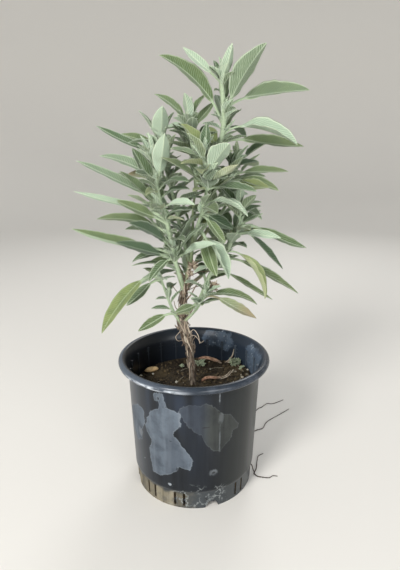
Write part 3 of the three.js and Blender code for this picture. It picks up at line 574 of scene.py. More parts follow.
def stem_rings(points, t0, t1, step, sides, radius, level=(0, 1, 0)):
    """Rings of points round a curve, about one every step millimetres."""
    count = max(1, int(math.floor(path_length(points) * (t1 - t0) / step + 0.5)))
    angle = 2 * math.pi * np.arange(sides) / sides
    rings = []
    for i in range(count + 1):
        t = mix(t0, t1, i / count)
        ahead = path_ahead(points, t)
        side = unit(np.cross(level, ahead))
        other = np.cross(ahead, side)
        r = radius(t, angle)
        rings.append(along(points, t) + side * (r * np.cos(angle))[:, None]
                     + other * (r * np.sin(angle))[:, None])
    return np.array(rings)


def taper(start, end):
    """A radius for stem_rings that goes evenly from start to end."""
    return lambda t, angle: mix(start, end, t)


def stem_points(rings):
    """Points on the rings of a stem and at three places between each two."""
    shares = np.array([0, 0.25, 0.5, 0.75])[:, None, None, None]
    return (rings[:-1] * (1 - shares) + rings[1:] * shares).reshape(-1, 3)


def trunk_radius(t, angle):
    """Radius of the trunk at share t of its path, with the ridges of its bark."""
    swell = 1.7 * math.exp(-(((t - 0.42) / 0.1) ** 2))
    plain = mix(3.9, 4, t / 0.55) if t < 0.55 else mix(4, 1.9, (t - 0.55) / 0.45)
    ramp = clamp((t - BARK_FROM) / 0.05)
    fade = clamp((BARK_TO - t) / 0.1)
    ridges = 0.6 * np.sin(3 * angle + 40 * t) + 0.45 * np.sin(5 * angle - 70 * t)
    lumps = 0.8 * np.sin(90 * t + 2 * angle)
    return plain + swell + ramp * fade * (ridges + lumps)


def fill_leaves():
    """Smaller leaves where the part's leave room, in the form that place_leaves gives."""
    found = {}
    low, high = np.array(box_at_load) / MM
    for i, (name, shoot) in enumerate(STEMS.items()):
        draw = draws(300 + i)
        found[name] = []
        highest, longest = FILL_LIMITS.get(name, [0.97, FILL_LENGTHS[1]])
        for _ in range(FILL_TRIES):
            share = mix(0.2, highest, draw())
            length = mix(FILL_LENGTHS[0], longest, draw())
            leaf = Leaf(share, 360 * draw(), mix(0, 65, draw()), length,
                        length * mix(0.27, 0.38, draw()), mix(0, 45, draw()), mix(-30, 30, draw()))
            foot = along(shoot["path"], share)
            stations = blade_stations(foot, leaf)
            points = blade_points(stations, 0)
            outside = (points < low + 1).any() or (points > high - 1).any()
            if outside or met(points, 2 << i) or met(blade_points(stations, 1), 0):
                continue
            take(points, 2 << i)
            found[name].append((foot, leaf))
    return found


def place_leaves():
    """Every leaf where the part has it: for each stem's name a list of foot and leaf."""
    take(stem_points(stem_rings(TRUNK_PATH, 0, 1, 10, 8, trunk_radius)), 1)
    for strip in STRIPS:
        take(stem_points(stem_rings(strip, 0, 1, 3, 3, taper(0.9, 0.5), (0, 0.6, 0.8))), 1)
    placed = {}
    for i, (name, shoot) in enumerate(STEMS.items()):
        start = (shoot["stub"] + CLEAR) / path_length(shoot["path"])
        take(stem_points(stem_rings(shoot["path"], start, 1, 12, 4, taper(*shoot["radius"]))),
             2 << i)
        placed[name] = []
    for by_hand in (True, False):
        for i, (name, shoot) in enumerate(STEMS.items()):
            if by_hand:
                leaves = [read_row(row) for row in shoot["leaves"]]
            else:
                leaves = rule_leaves(shoot["rule"]) if "rule" in shoot else []
            for leaf in leaves:
                foot = along(shoot["path"], leaf.share)
                clear, stations = bent_clear(foot, leaf, 2 << i)
                if clear:
                    take(blade_points(stations, 0), 2 << i)
                    placed[name].append((foot, clear))
    return placed


# Meshes
class Piece:
    """The points, faces and surface values of one mesh."""

    def __init__(self):
        self.points, self.faces, self.kinds = [], [], []
        self.values = {"where": [], "share": [], "tone": []}
        self.count = 0

    def add(self, points, faces, kind=0, where=(0, 0, 0), share=(0, 0, 0), tone=(0, 0, 0)):
        """Adds a body; kind and each value are given once, or for every face and point."""
        points = np.asarray(points, float).reshape(-1, 3)
        self.points.append(points)
        for key, value in (("where", where), ("share", share), ("tone", tone)):
            value = np.asarray(value, float)
            value = value.reshape(-1, 3) if value.ndim > 1 else value[None]
            self.values[key].append(np.broadcast_to(value, points.shape))
        self.faces += [tuple(int(v) + self.count for v in face) for face in faces]
        self.kinds += list(kind) if np.ndim(kind) else [kind] * len(faces)
        self.count += len(points)

    def make(self, name, materials, nodes, sharp=None):
        """Makes the mesh in place of these nodes; edges bent past sharp degrees stay hard."""
        mesh = bpy.data.meshes.new(name)
        points = np.clip(np.concatenate(self.points) * MM, *box_at_load)
        mesh.from_pydata(points.tolist(), [], self.faces)
        for key, value in self.values.items():
            layer = mesh.attributes.new(key, "FLOAT_VECTOR", "POINT")
            layer.data.foreach_set("vector", np.concatenate(value).astype(np.float32).ravel())
        for material in materials:
            mesh.materials.append(material)
        mesh.polygons.foreach_set("material_index", self.kinds)
        mesh.polygons.foreach_set("use_smooth", [True] * len(self.faces))
        if sharp:
            mesh.set_sharp_from_angle(angle=math.radians(sharp))
        mesh.update()
        made = bpy.data.objects.new(name, mesh)
        bpy.context.scene.collection.objects.link(made)
        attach(made, "root")
        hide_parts(*nodes)


def grid_faces(rows, columns, closed=False, start=0):
    """Quads over a grid of points; closed joins the last column to the first."""
    faces = []
    for i in range(rows - 1):
        for j in range(columns if closed else columns - 1):
            k = (j + 1) % columns
            a = start + i * columns
            faces.append((a + j, a + k, a + columns + k, a + columns + j))
    return faces


def tube(piece, rings, kind=0, **values):
    """A closed tube over an array of rings."""
    rows, columns = rings.shape[:2]
    faces = grid_faces(rows, columns, True)
    faces += [tuple(range(columns))[::-1], tuple((rows - 1) * columns + j for j in range(columns))]
    piece.add(rings.reshape(-1, 3), faces, kind, **values)


# Pot
def body_radius(z):
    """Outer radius of the wall above the band."""
    return mix(BODY_FOOT, BODY_TOP, z / (POT_HEIGHT - RIM_DEPTH))


def band_radius(z):
    """Outer radius of the wall in the band."""
    return mix(FOOT_RADIUS, body_radius(BAND_HEIGHT) - BAND_STEP, z / BAND_HEIGHT)


def inner_radius(z):
    """Radius of the wall's inner face."""
    return (band_radius(z) if z < BAND_HEIGHT else body_radius(z)) - WALL


def pot_columns():
    """Headings of the columns of the pot's wall, and which begin a strip of a slot or notch."""
    edges = []
    half = math.degrees(SLOT_WIDTH / 2 / FOOT_RADIUS)
    slots = [(pair + side * SLOT_SPREAD - half, pair + side * SLOT_SPREAD + half)
             for pair in SLOT_PAIRS for side in (-1, 1)]
    notches = [(at - NOTCH_HALF[0], at + NOTCH_HALF[0]) for at in NOTCHES]
    for low, high in slots + notches:
        edges += [low % 360, high % 360]
    plain = [a for a in np.arange(0, 360, 1.5)
             if all(abs((a - e + 180) % 360 - 180) > 0.6 for e in edges)]
    columns = sorted(edges + plain)
    middles = [(a + (b - a) % 360 / 2) % 360 for a, b in zip(columns, columns[1:] + columns[:1])]

    def inside(a, spans):
        return any((a - low) % 360 < (high - low) % 360 for low, high in spans)

    return (np.array(columns), [inside(a, slots) for a in middles],
            [inside(a, notches) for a in middles])


def pot_profile():
    """Radius, height and key of each row: up the outside, over the rim and down the inside."""
    lip = POT_HEIGHT - RIM_DEPTH
    rows = [(band_radius(z), z, ("out", z)) for z in (0, SLOT_LOW, NOTCH_HEIGHT, 13, SLOT_HIGH)]
    rows += [(band_radius(22.6), 22.6, 0), (band_radius(23) + 0.3, 23.1, 0),
             (body_radius(24) - 0.35, 23.6, 0), (body_radius(24), 24.3, 0)]
    rows += [(body_radius(z), z, 0) for z in np.linspace(27, lip - 2.5, 56)]
    rows += [(BODY_TOP + 0.35, lip - 0.9, 0), (BODY_TOP + 1.5, lip - 0.1, 0)]
    cr, cz = RIM_RADIUS - RIM_ROLL, POT_HEIGHT - RIM_ROLL
    for a in range(-90, 136, 15):
        k = math.radians(a)
        rows.append((cr + RIM_ROLL * math.cos(k), cz + RIM_ROLL * math.sin(k), 0))
    rows += [(RIM_RADIUS - 8.6, POT_HEIGHT - 2.8, 0), (RIM_RADIUS - 9.8, POT_HEIGHT - 5, 0),
             (RIM_RADIUS - 11.2, POT_HEIGHT - 7.6, 0), (BODY_TOP - 1.5, lip - 2.5, 0)]
    rows += [(inner_radius(z), z, 0) for z in np.linspace(lip - 6, BAND_HEIGHT + 2, 10)]
    rows += [(inner_radius(z), z, ("in", z))
             for z in (SLOT_HIGH, 13, NOTCH_HEIGHT, SLOT_LOW, 0)]
    return rows


def depth_inside(corners, points):
    """How far inside an outline each point is, below nothing outside it."""
    start = np.array(corners, float)
    end = np.roll(start, -1, axis=0)
    edge, offset = end - start, points[:, None] - start
    share = np.clip((offset * edge).sum(-1) / (edge ** 2).sum(-1), 0, 1)
    near = np.linalg.norm(offset - share[..., None] * edge, axis=-1).min(axis=1)
    level = points[:, 1:]
    spans = (start[:, 1] > level) != (end[:, 1] > level)
    rise = np.where(edge[:, 1] == 0, 1, edge[:, 1])
    left = points[:, :1] < start[:, 0] + edge[:, 0] * (level - start[:, 1]) / rise
    return np.where((spans & left).sum(axis=1) % 2 == 1, near, -near)


def lime_and_sheen_depths(where):
    """For each point of the wall, how far inside the outlines of each list of LIME_AND_SHEEN it is."""
    depths = []
    for outlines in LIME_AND_SHEEN:
        best = np.full(len(where), -LIME_REACH)
        for outline in outlines:
            corners = [(math.radians(front) * BODY_TOP, z) for front, z in outline]
            best = np.maximum(best, depth_inside(corners, where[:, :2]))
        depths.append(np.minimum(best, LIME_REACH))
    return np.stack(depths, axis=1)


def pot_wall(piece):
    """The wall as one closed shell, with its slots and notches cut through."""
    headings, slot, notch = pot_columns()
    profile = pot_profile()
    rows, columns = len(profile), len(headings)
    points, where = [], []
    for radius, z, _ in profile:
        for j, at in enumerate(headings):
            if z <= NOTCH_HEIGHT:
                # The two sides of a notch lean towards each other
                lean = (NOTCH_HALF[0] - NOTCH_HALF[1]) * z / NOTCH_HEIGHT
                at += (int(notch[j]) - int(notch[j - 1])) * lean
            points.append(heading(at) * radius + UP * z)
            front = (at + 90 + 180) % 360 - 180
            where.append([math.radians(front) * BODY_TOP, z, 0])
    keys = {key: i for i, (_, _, key) in enumerate(profile) if key}
    low, high, top = keys["out", SLOT_LOW], keys["out", SLOT_HIGH], keys["out", NOTCH_HEIGHT]
    inner = [keys["in", z] for _, z, _ in profile[:high + 1]]
    gone = set()
    for j in range(columns):
        for i in range(high):
            if (slot[j] and i >= low) or (notch[j] and i < top):
                gone |= {(i, j), (inner[i + 1], j)}
        if notch[j]:
            gone.add((rows - 1, j))

    def at_grid(i, j):
        return i % rows * columns + j % columns

    faces = [(at_grid(i, j), at_grid(i, j + 1), at_grid(i + 1, j + 1), at_grid(i + 1, j))
             for i in range(rows) for j in range(columns) if (i, j) not in gone]
    # The cut faces of each opening: its sill, its top and its two sides
    for j in range(columns):
        k = j + 1
        for opening, first, last in ((slot, low, high), (notch, 0, top)):
            if not opening[j]:
                continue
            if first > 0:
                faces.append((at_grid(first, j), at_grid(first, k), at_grid(inner[first], k),
                              at_grid(inner[first], j)))
            faces.append((at_grid(last, k), at_grid(last, j), at_grid(inner[last], j),
                          at_grid(inner[last], k)))
            for i in range(first, last):
                if not opening[j - 1]:
                    faces.append((at_grid(inner[i], j), at_grid(inner[i + 1], j),
                                  at_grid(i + 1, j), at_grid(i, j)))
                if not opening[k % columns]:
                    faces.append((at_grid(i, k), at_grid(i + 1, k), at_grid(inner[i + 1], k),
                                  at_grid(inner[i], k)))
    where = np.array(where)
    highest = max(range(rows), key=lambda i: profile[i][1])
    within = (np.arange(rows).repeat(columns) > highest)[:, None] * np.array([1.0, 0, 0])
    piece.add(points, faces, where=where, share=within, tone=lime_and_sheen_depths(where))


def lathe(piece, profile, sides, **values):
    """A closed turned shell; profile starts and ends on the axis."""
    rings = [circle(r, z, sides) for r, z in profile if r > 0]
    rows = len(rings)
    low, high = rows * sides, rows * sides + 1
    faces = grid_faces(rows, sides, True)
    for j in range(sides):
        k = (j + 1) % sides
        faces += [(low, k, j), (high, (rows - 1) * sides + j, (rows - 1) * sides + k)]
    points = np.concatenate(rings + [[[0, 0, profile[0][1]], [0, 0, profile[-1][1]]]])
    piece.add(points, faces, **values)


def circle(radius, z, sides):
    """Points of a level circle round the pot's axis."""
    a = 2 * np.pi * np.arange(sides) / sides
    return np.stack([radius * np.cos(a), radius * np.sin(a), np.full(sides, float(z))], 1)


def slab(piece, at, r0, r1, half, z0, z1, **values):
    """A block on the wall: from radius r0 to r1, half wide to each side, from z0 to z1."""
    out, side = heading(at), heading(at + 90)
    points = [out * r + side * s * half + UP * z
              for z in (z0, z1) for r, s in ((r0, -1), (r1, -1), (r1, 1), (r0, 1))]
    faces = [(0, 3, 2, 1), (4, 5, 6, 7), (0, 1, 5, 4), (1, 2, 6, 5), (2, 3, 7, 6), (3, 0, 4, 7)]
    piece.add(points, faces, **values)


# Thin ribs on the inner wall, each with a cap and two short bars; headings in degrees
RIB_COUNT = 22
RIB_FIRST = 44.4
RIB_SPACING = 16.36
RIB_TOP = 146
RIB_BARS = [142.5, 137.5]
# A tab of plastic left under the rim at the left
NUB_AT = 187
NUB_LOW = 147
NUB_HIGH = 151.5
# Surface values of these small pieces: plain plastic, clear of all lime
PLAIN_WALL = {"where": (0, 140, 0), "share": (1, 1, 0), "tone": (-20, -20, -20)}


def make_pot(material):
    piece = Piece()
    pot_wall(piece)
    floor = FLOOR_LOW + FLOOR_THICK
    lathe(piece, [(0, 0), (PAD_RADIUS - 0.6, 0), (PAD_RADIUS, 0.6), (PAD_RADIUS + 0.8, FLOOR_LOW),
                  (inner_radius(FLOOR_LOW) + 0.2, FLOOR_LOW), (inner_radius(floor) + 0.2, floor),
                  (0, floor)], 96, where=(0, -10, 0))
    wall = inner_radius(RIB_TOP + 1)
    for i in range(RIB_COUNT):
        at = RIB_FIRST + RIB_SPACING * i
        slab(piece, at, wall - 1.3, wall + 0.6, 0.8, SOIL_LEVEL - 2, RIB_TOP, **PLAIN_WALL)
        slab(piece, at, wall - 1.5, wall + 0.6, 1.4, RIB_TOP - 1, RIB_TOP + 1.6, **PLAIN_WALL)
        for z in RIB_BARS:
            slab(piece, at, wall - 0.6, wall + 0.5, 3.2, z, z + 0.8, **PLAIN_WALL)
    slab(piece, NUB_AT, BODY_TOP - 1, RIM_RADIUS - 1.6, 2.2, NUB_LOW, NUB_HIGH, **PLAIN_WALL)
    piece.make("nursery_pot", [material], ["pot"], sharp=38)


# Soil
def soil_top(x, y):
    rough = 1.2 * math.sin(x / 17 + 1) * math.cos(y / 13) + 0.6 * math.sin(x / 6 - y / 9)
    return SOIL_LEVEL + rough + 2.2 * math.exp(-((x + 1) ** 2 + (y + 8) ** 2) / 300)


# How much higher the loam lies against the wall at the right
SOIL_MOUND = 5


def crumbled(x, y):
    """Height of the loam with its crumbs."""
    fine = noise.fractal(Vector((x / 5, y / 5, 3)), 0.8, 2.0, 4)
    lumps = noise.noise(Vector((x / 11, y / 11, 9)))
    mound = SOIL_MOUND * math.exp(-((x - 60) ** 2 + (y - 38) ** 2) / 900)
    return soil_top(x, y) + 0.9 * fine + 1.1 * lumps + mound


# A crumb is an icosahedron, squashed
ICO = 1.618
LUMP_POINTS = unit([[-1, ICO, 0], [1, ICO, 0], [-1, -ICO, 0], [1, -ICO, 0], [0, -1, ICO],
                    [0, 1, ICO], [0, -1, -ICO], [0, 1, -ICO], [ICO, 0, -1], [ICO, 0, 1],
                    [-ICO, 0, -1], [-ICO, 0, 1]])
LUMP_FACES = [(0, 11, 5), (0, 5, 1), (0, 1, 7), (0, 7, 10), (0, 10, 11), (1, 5, 9), (5, 11, 4),
              (11, 10, 2), (10, 7, 6), (7, 1, 8), (3, 9, 4), (3, 4, 2), (3, 2, 6), (3, 6, 8),
              (3, 8, 9), (4, 9, 5), (2, 4, 11), (6, 2, 10), (8, 6, 7), (9, 8, 1)]
# Straws that lie on the loam: both ends and half their thickness
STRAWS = [((-22, -2), (-13, 14), 0.35), ((-40, -18), (-24, -26), 0.3), ((20, 40), (38, 36), 0.3),
          ((-18, 30), (-6, 42), 0.3), ((30, -24), (44, -14), 0.3), ((-50, -4), (-42, 8), 0.25)]
CRUMBS = 2600
# Where half of the crumbs are gravel, and how far that reaches
GRAVEL_AT = [62, 24]
GRAVEL_REACH = 19


def make_soil(material):
    piece = Piece()
    inner = inner_radius(SOIL_LEVEL) - CLEAR
    sides, rows = 160, 60
    rings = []
    for z in (FLOOR_LOW + FLOOR_THICK + CLEAR, BAND_HEIGHT - 2, BAND_HEIGHT + 2.5):
        rings.append(circle(inner_radius(min(z, BAND_HEIGHT)) - CLEAR, z, sides))
    for share in np.linspace(1, 0.012, rows):
        ring = circle(inner * share, 0, sides)
        ring[:, 2] = [crumbled(x, y) - 1.5 * (share == 1) for x, y, _ in ring]
        rings.append(ring)
    tube(piece, np.array(rings), share=(0.5, 0, 0))
    draw = draws(401)
    for _ in range(CRUMBS):
        angle, r = 2 * math.pi * draw(), (inner - 2) * math.sqrt(draw())
        x, y = r * math.cos(angle), r * math.sin(angle)
        size = 0.45 + 1.9 * draw() ** 3.5
        pale = draw()
        gravel = math.hypot(x - GRAVEL_AT[0], y - GRAVEL_AT[1]) < GRAVEL_REACH and draw() < 0.5
        squash = np.array([mix(0.7, 1.2, draw()), mix(0.7, 1.2, draw()), mix(0.5, 0.9, draw())])
        points = LUMP_POINTS * squash * size * (1.25 if gravel else 1)
        piece.add(points + [x, y, crumbled(x, y) + 0.25 * size], LUMP_FACES,
                  share=(draw(), 1 if gravel else 0, 1 if pale > 0.98 else 0))
    for start, end, thick in STRAWS:
        a = np.array([*start, crumbled(*start) + 0.6])
        b = np.array([*end, crumbled(*end) + 1.0])
        tube(piece, stem_rings([a, (a + b) / 2 + UP * 0.8, b], 0, 1, 4, 6, taper(thick, thick),
                               (0.01, 0.02, 1)), share=(0.5, 1, 0))
    piece.make("loam", [material], ["soil"])


# Trunk and bark
def bark_relief(point, age):
    """How far the bark stands out at a point: ridges, fibres and cracks that run upwards."""
    x, y, z = point
    ridge = noise.noise(Vector((x / 2.1, y / 2.1, z / 22)))
    fibre = noise.noise(Vector((x / 0.9, y / 0.9, z / 14)))
    crack = abs(noise.noise(Vector((x / 3.2, y / 3.2, z / 17 + 5))))
    return age * (0.9 * ridge + 0.45 * fibre - 0.9 * max(0, 0.25 - crack) * 3)


# How much thinner the wood is above the shredded part than the part's plain round stem
UPPER_SLIM = 0.7
# Dry flower heads: middle, size and the foot of the stalk
DRY_HEADS = [
    ([-1, -12, 271], 6.5, [-5, -2, 262]), ([-4, -11, 262], 4, [-6, -3, 256]),
    ([22, -15, 248], 6.5, [-8, -4, 240]), ([24, -4, 262], 4, [-6, -2, 256]),
]
# Bracts of one head
BRACTS = 46
# Dry twigs: path and half the thickness at the foot
TWIGS = [
    ([[-12, -5, 208], [-4, -14, 216], [3, -16, 228]], 0.8),
    ([[-13, -5, 214], [-20, -14, 222], [-22, -18, 232]], 0.7),
    ([[-12, -4, 226], [-4, -12, 236], [2, -13, 247], [6, -12, 252]], 0.9),
    ([[-10, -3, 244], [-2, -11, 252], [8, -14, 258]], 0.7),
    ([[-8, -2, 254], [-14, -9, 262], [-20, -11, 266]], 0.6),
    ([[-5, -1, 268], [3, -9, 273], [10, -9, 282]], 0.6),
    ([[-9, -2, 250], [-5, -10, 262], [-6, -12, 276]], 0.6),
    ([[-11, -3, 236], [-18, -11, 240], [-24, -12, 248]], 0.7),
]
# Share of the trunk's path at which the wood begins, hidden in the soil
TRUNK_FROM = 0.13
# Loose shreds of bark
SHREDS = 110


def dry_head(piece, middle, size, foot, draw):
    """A dry flower head: a crowd of small pointed bracts on a thin stalk."""
    middle, foot = np.array(middle, float), np.array(foot, float)
    bend = (middle + foot) / 2 + UP * 3
    rings = stem_rings([foot, bend, middle], 0, 1, 2, 6, taper(0.5, 0.5), (0.1, 0.9, 0.2))
    tube(piece, rings, share=(1, 0, 0.3))
    for _ in range(BRACTS):
        way = unit(np.array([draw() - 0.5, draw() - 0.5, draw() - 0.45]))
        start = middle + way * size * 0.25 * draw()
        reach = size * mix(0.55, 1.05, draw())
        turn = unit(way + np.array([draw() - 0.5, draw() - 0.5, draw() - 0.5]) * 0.9)
        path = [start, start + way * reach * 0.6, start + way * reach * 0.7 + turn * reach * 0.5]
        wide = mix(0.5, 1.0, draw())
        rings = stem_rings(path, 0, 1, 1.2, 4,
                           lambda t, a: wide * (0.35 + math.sin(math.pi * t) * 0.65),
                           (0.3, 0.5, 0.8))
        tube(piece, rings, share=(1, 0, mix(0.4, 1, draw())))


def make_trunk(material):
    piece = Piece()
    rings = stem_rings(TRUNK_PATH, TRUNK_FROM, 1, 1.4, 40, trunk_radius)
    share = np.zeros(rings.shape)
    for i, ring in enumerate(rings):
        t = mix(TRUNK_FROM, 1, i / (len(rings) - 1))
        age = clamp((0.8 - t) / 0.32)
        centre = along(TRUNK_PATH, t)
        slim = UPPER_SLIM * clamp((t - 0.46) / 0.08)
        for point in ring:
            out = unit(point - centre)
            point += out * (bark_relief(point, mix(0.25, 1, age)) - 0.2 - slim)
        share[i, :, 0] = age
    tube(piece, rings, share=share)
    draw = draws(77)
    for _ in range(SHREDS):
        t = mix(0.2, 0.66, draw() ** 0.8)
        ribbon(piece, t, 360 * draw(), mix(0.6, 1.6, draw()), mix(9, 26, draw()),
               mix(0, 5.5, draw() ** 2), 1 if draw() < 0.5 else -1, mix(-1, 1, draw()), draw())
    for k, strip in enumerate(STRIPS):
        rings = stem_rings(strip, 0, 1, 1.2, 6,
                           lambda t, a: mix(0.62, 0.34, t) * (0.8 + 0.3 * np.cos(2 * a)),
                           (0, 0.6, 0.8))
        tube(piece, rings, share=(1, 0, 0.7 + 0.08 * k))
    for name, shoot in STEMS.items():
        end = (shoot["stub"] + 0.5) / path_length(shoot["path"])
        low, high = shoot["radius"]
        rings = stem_rings(shoot["path"], 0, end, 2, 12,
                           lambda t, a: mix(low, high, t) + 0.3 + 0.12 * np.sin(3 * a + 30 * t))
        tube(piece, rings, share=(0.65 if name.startswith("back") else 0.3, 0, 0))
    for middle, head_size, foot in DRY_HEADS:
        dry_head(piece, middle, head_size, foot, draw)
    for path, thick in TWIGS:
        rings = stem_rings(path, 0, 1, 1.5, 6, taper(thick, thick * 0.5), (0.1, 0.9, 0.2))
        tube(piece, rings, share=(1, 0, 0.35))
    piece.make("old_trunk", [material], ["trunk"])


def ribbon(piece, t, turn, half, length, loose, way, sway, shade):
    """A shred of bark along the trunk, with its end curled away by loose millimetres."""
    trunk_length = path_length(TRUNK_PATH)
    rings = []
    for k in np.linspace(0, 1, 11):
        s = min(0.97, max(0.14, t + way * k * length / trunk_length))
        ahead = path_ahead(TRUNK_PATH, s)
        side = unit(np.cross([0, 1, 0], ahead))
        angle = math.radians(turn) + 0.35 * sway * k
        out = side * math.cos(angle) + np.cross(ahead, side) * math.sin(angle)
        aside = np.cross(ahead, out)
        off = trunk_radius(s, angle) + 0.35 + loose * max(0, k - 0.35) ** 1.6 * 2
        off += 0.3 * math.sin(9 * k + turn)
        drift = sway * loose * max(0, k - 0.4) * 0.9
        middle = along(TRUNK_PATH, s) + out * off + aside * drift
        wide = half * math.sin(math.pi * mix(0.18, 0.94, k)) ** 0.6
        roll = 0.9 * sway * loose / 5.5 * k * 2
        across = aside * math.cos(roll) + out * math.sin(roll)
        facing = out * math.cos(roll) - aside * math.sin(roll)
        rings.append([middle - across * wide, middle + facing * 0.28,
                      middle + across * wide, middle - facing * 0.25])
    tube(piece, np.array(rings), share=(1, 0, 0.15 + 0.75 * shade))


# Leaves

# Tones: shares of yellow and brown, then how pale the felt is, below nought for a leaf darkened by
# painted shade
TONES = {
    "": (0, 0, 0.1), "p": (0, 0, 0.5), "w": (0, 0, 1), "d": (0, 0, -0.75),
    "l": (0.25, 0, 0), "y": (0.75, 0.04, 0.3), "b": (0.35, 0.75, 0.3), "o": (0.18, 0.08, -0.2),
    "c": (0.45, 0.35, 0.9), "v": (0.55, 0.1, 0), "g": (0.6, 0.05, -0.35),
}
# Where a fine blade has its points, as shares of its half width from the midrib
ACROSS = np.array([-1, -0.9, -0.68, -0.4, -0.14, 0, 0.14, 0.4, 0.68, 0.9, 1])


def fine_leaf(piece, foot, leaf, tone, seed, steps=None):
    """A thin closed blade on its stalk: the top and the underside share their edge."""
    length = leaf.length
    steps = steps or (34 if length >= LONG_LEAF else 26 if length >= SHORT_LEAF else 14)
    centre, up, right = (a[:, None] for a in midrib(foot, leaf, steps))
    stalk = mix(*PETIOLE_SHARE, grown(length))
    # Shares of the length down the rows, and of the half width along the columns
    u = (np.arange(steps + 1) / steps)[:, None]
    s = (u - stalk) / (1 - stalk)
    v, spread = ACROSS, np.abs(ACROSS)
    half = half_width(np.minimum(u, 0.996), leaf.width, stalk)
    half = half * (1 + 0.02 * np.sin(2 * np.pi * u * length / 2.3) * clamp(s * 8))
    half = half * (1 + 0.4 * grown(length) * clamp((stalk + 0.04 - u) / 0.06))
    half[-1] = 0.25
    blade = clamp((u - stalk) / 0.15)
    fold = np.radians(leaf.fold) * blade
    side = np.where(v > 0, 1, -1)
    edge = blade * half * (EDGE_WAVE * np.sin(17 * u + 1.7 * side + leaf.azimuth)
                           + 0.03 * np.sin(43 * u + 2.3 * side + seed))
    across = half * v * np.cos(fold)
    rise = half * np.sin(fold) * spread ** 1.25 + edge * spread ** 1.6
    sheet = centre + right * across[..., None] + up * rise[..., None]
    # The blade is thickest at its midrib, and round where it is all stalk
    round_off = np.sqrt(1 - v ** 2) * mix(1, 0.5, u)
    rib = 0.75 * np.exp(-(v * half / 0.75) ** 2) * mix(1, 0.5, u) * blade
    top = sheet + up * ((0.95 - 0.75 * blade) * round_off)[..., None]
    under = sheet - up * ((1.05 - 0.8 * blade) * round_off + rib)[..., None]
    rows, columns = across.shape
    upper = np.arange(rows * columns).reshape(rows, columns)
    lower = upper.copy()
    lower[:, 1:-1] = rows * columns + np.arange(rows * (columns - 2)).reshape(rows, -1)
    faces = grid_faces(rows, columns)
    kinds = [0] * len(faces)
    faces += [(lower[i, j], lower[i + 1, j], lower[i + 1, j + 1], lower[i, j + 1])
              for i in range(rows - 1) for j in range(columns - 1)]
    faces += [[*lower[0], *upper[0, -2:0:-1]], [*lower[-1], *upper[-1, -2:0:-1]][::-1]]
    kinds += [1] * (len(faces) - len(kinds))

    def both(above, below):
        """Triples of the top, then of the underside between its edges."""
        return np.concatenate([above.reshape(-1, 3), below[:, 1:-1].reshape(-1, 3)])

    where = np.stack(np.broadcast_arrays(s * (1 - stalk) * length, half * v, seed * 7.1 % 40), -1)
    share = np.stack(np.broadcast_arrays(s, v, 0), -1)
    tones = np.full((rows, columns, 3), tone, float)
    # Painted light: the half nearest the front is painted paler, as lit from the front
    if leaf.tone.endswith("n"):
        tones[..., 2] += 1.1 * clamp(-6 * v * np.sign(right[..., 1])) * blade
    points = both(top, under)
    points[:, 2] = np.maximum(points[:, 2], 0.5)
    piece.add(points, faces, kinds, where=both(where, where), share=both(share, share),
              tone=both(tones, tones))


def square_stem(piece, path, radius, seed, old):
    """The stem of a shoot: four-sided with soft corners, and brown up to the share old."""
    rings = stem_rings(path, 0, 1, 2.2, 12,
                       lambda t, a: mix(*radius, t) * (1.16 + 0.08 * np.cos(4 * a)))
    t = np.linspace(0, 1, len(rings))[:, None]
    where, tone = np.zeros(rings.shape), np.zeros(rings.shape)
    where[..., 0] = t * path_length(path)
    where[..., 2] = seed
    tone[..., 1] = clamp((old - t) / 0.25) * 0.6
    tube(piece, rings, 1, share=(-1, 0, 0), where=where, tone=tone)


def tuft(piece, foot, ahead, side, draw, count, size):
    """Young leaves in the corner between a stalk and its stem."""
    for _ in range(count):
        lean = mix(0.15, 0.6, draw())
        stray = np.array([0.5 - draw(), 0.5 - draw(), 0.5 - draw()])
        way = unit(ahead * (1 - lean) + side * lean + stray * 0.7)
        azimuth = math.degrees(math.atan2(way[1], way[0]))
        rise = math.degrees(math.asin(max(-1, min(1, way[2]))))
        length = size * mix(0.45, 1.1, draw())
        leaf = Leaf(0, azimuth, rise, length, length * mix(0.3, 0.42, draw()), mix(0, 40, draw()),
                    mix(-25, 25, draw()))
        tone = (0.1 * draw(), 0, mix(-0.2, 0.7, draw()))
        fine_leaf(piece, foot, leaf, tone, 40 * draw(), steps=9)


# Millimetres from which a leaf has young leaves in its corner
TUFTED = 30


def make_shoots(materials):
    placed = place_leaves()
    fill = fill_leaves()
    for k, (name, shoot) in enumerate(STEMS.items()):
        piece = Piece()
        draw = draws(900 + k)
        path = shoot["path"]
        square_stem(piece, path, shoot["radius"], k + 0.3, 0.45 if name.startswith("back") else 0.1)
        for foot, leaf in placed[name]:
            tone = TONES[leaf.tone[:1]]
            if name.startswith("back") or (leaf.tone == "" and leaf.length > TUFTED):
                tone = (tone[0] + 0.25 * draw() ** 2, tone[1], tone[2] + mix(-0.35, 0.25, draw()))
            fine_leaf(piece, foot, leaf, tone, 40 * draw())
            if leaf.length > TUFTED:
                tuft(piece, foot, path_ahead(path, leaf.share), heading(leaf.azimuth), draw,
                     int(mix(0.5, 5.5, leaf.share) + draw()), mix(14, 27, draw()))
        for foot, leaf in fill[name]:
            tone = (0.35 * draw() ** 3, 0, mix(-0.5, 0.6, draw()))
            faded = draw()
            if faded < 0.1:
                tone = TONES["v" if faded < 0.06 else "c"]
            fine_leaf(piece, foot, leaf, tone, 40 * draw(), steps=16)
        piece.make("sage_" + name, materials, ["shoot_" + name])


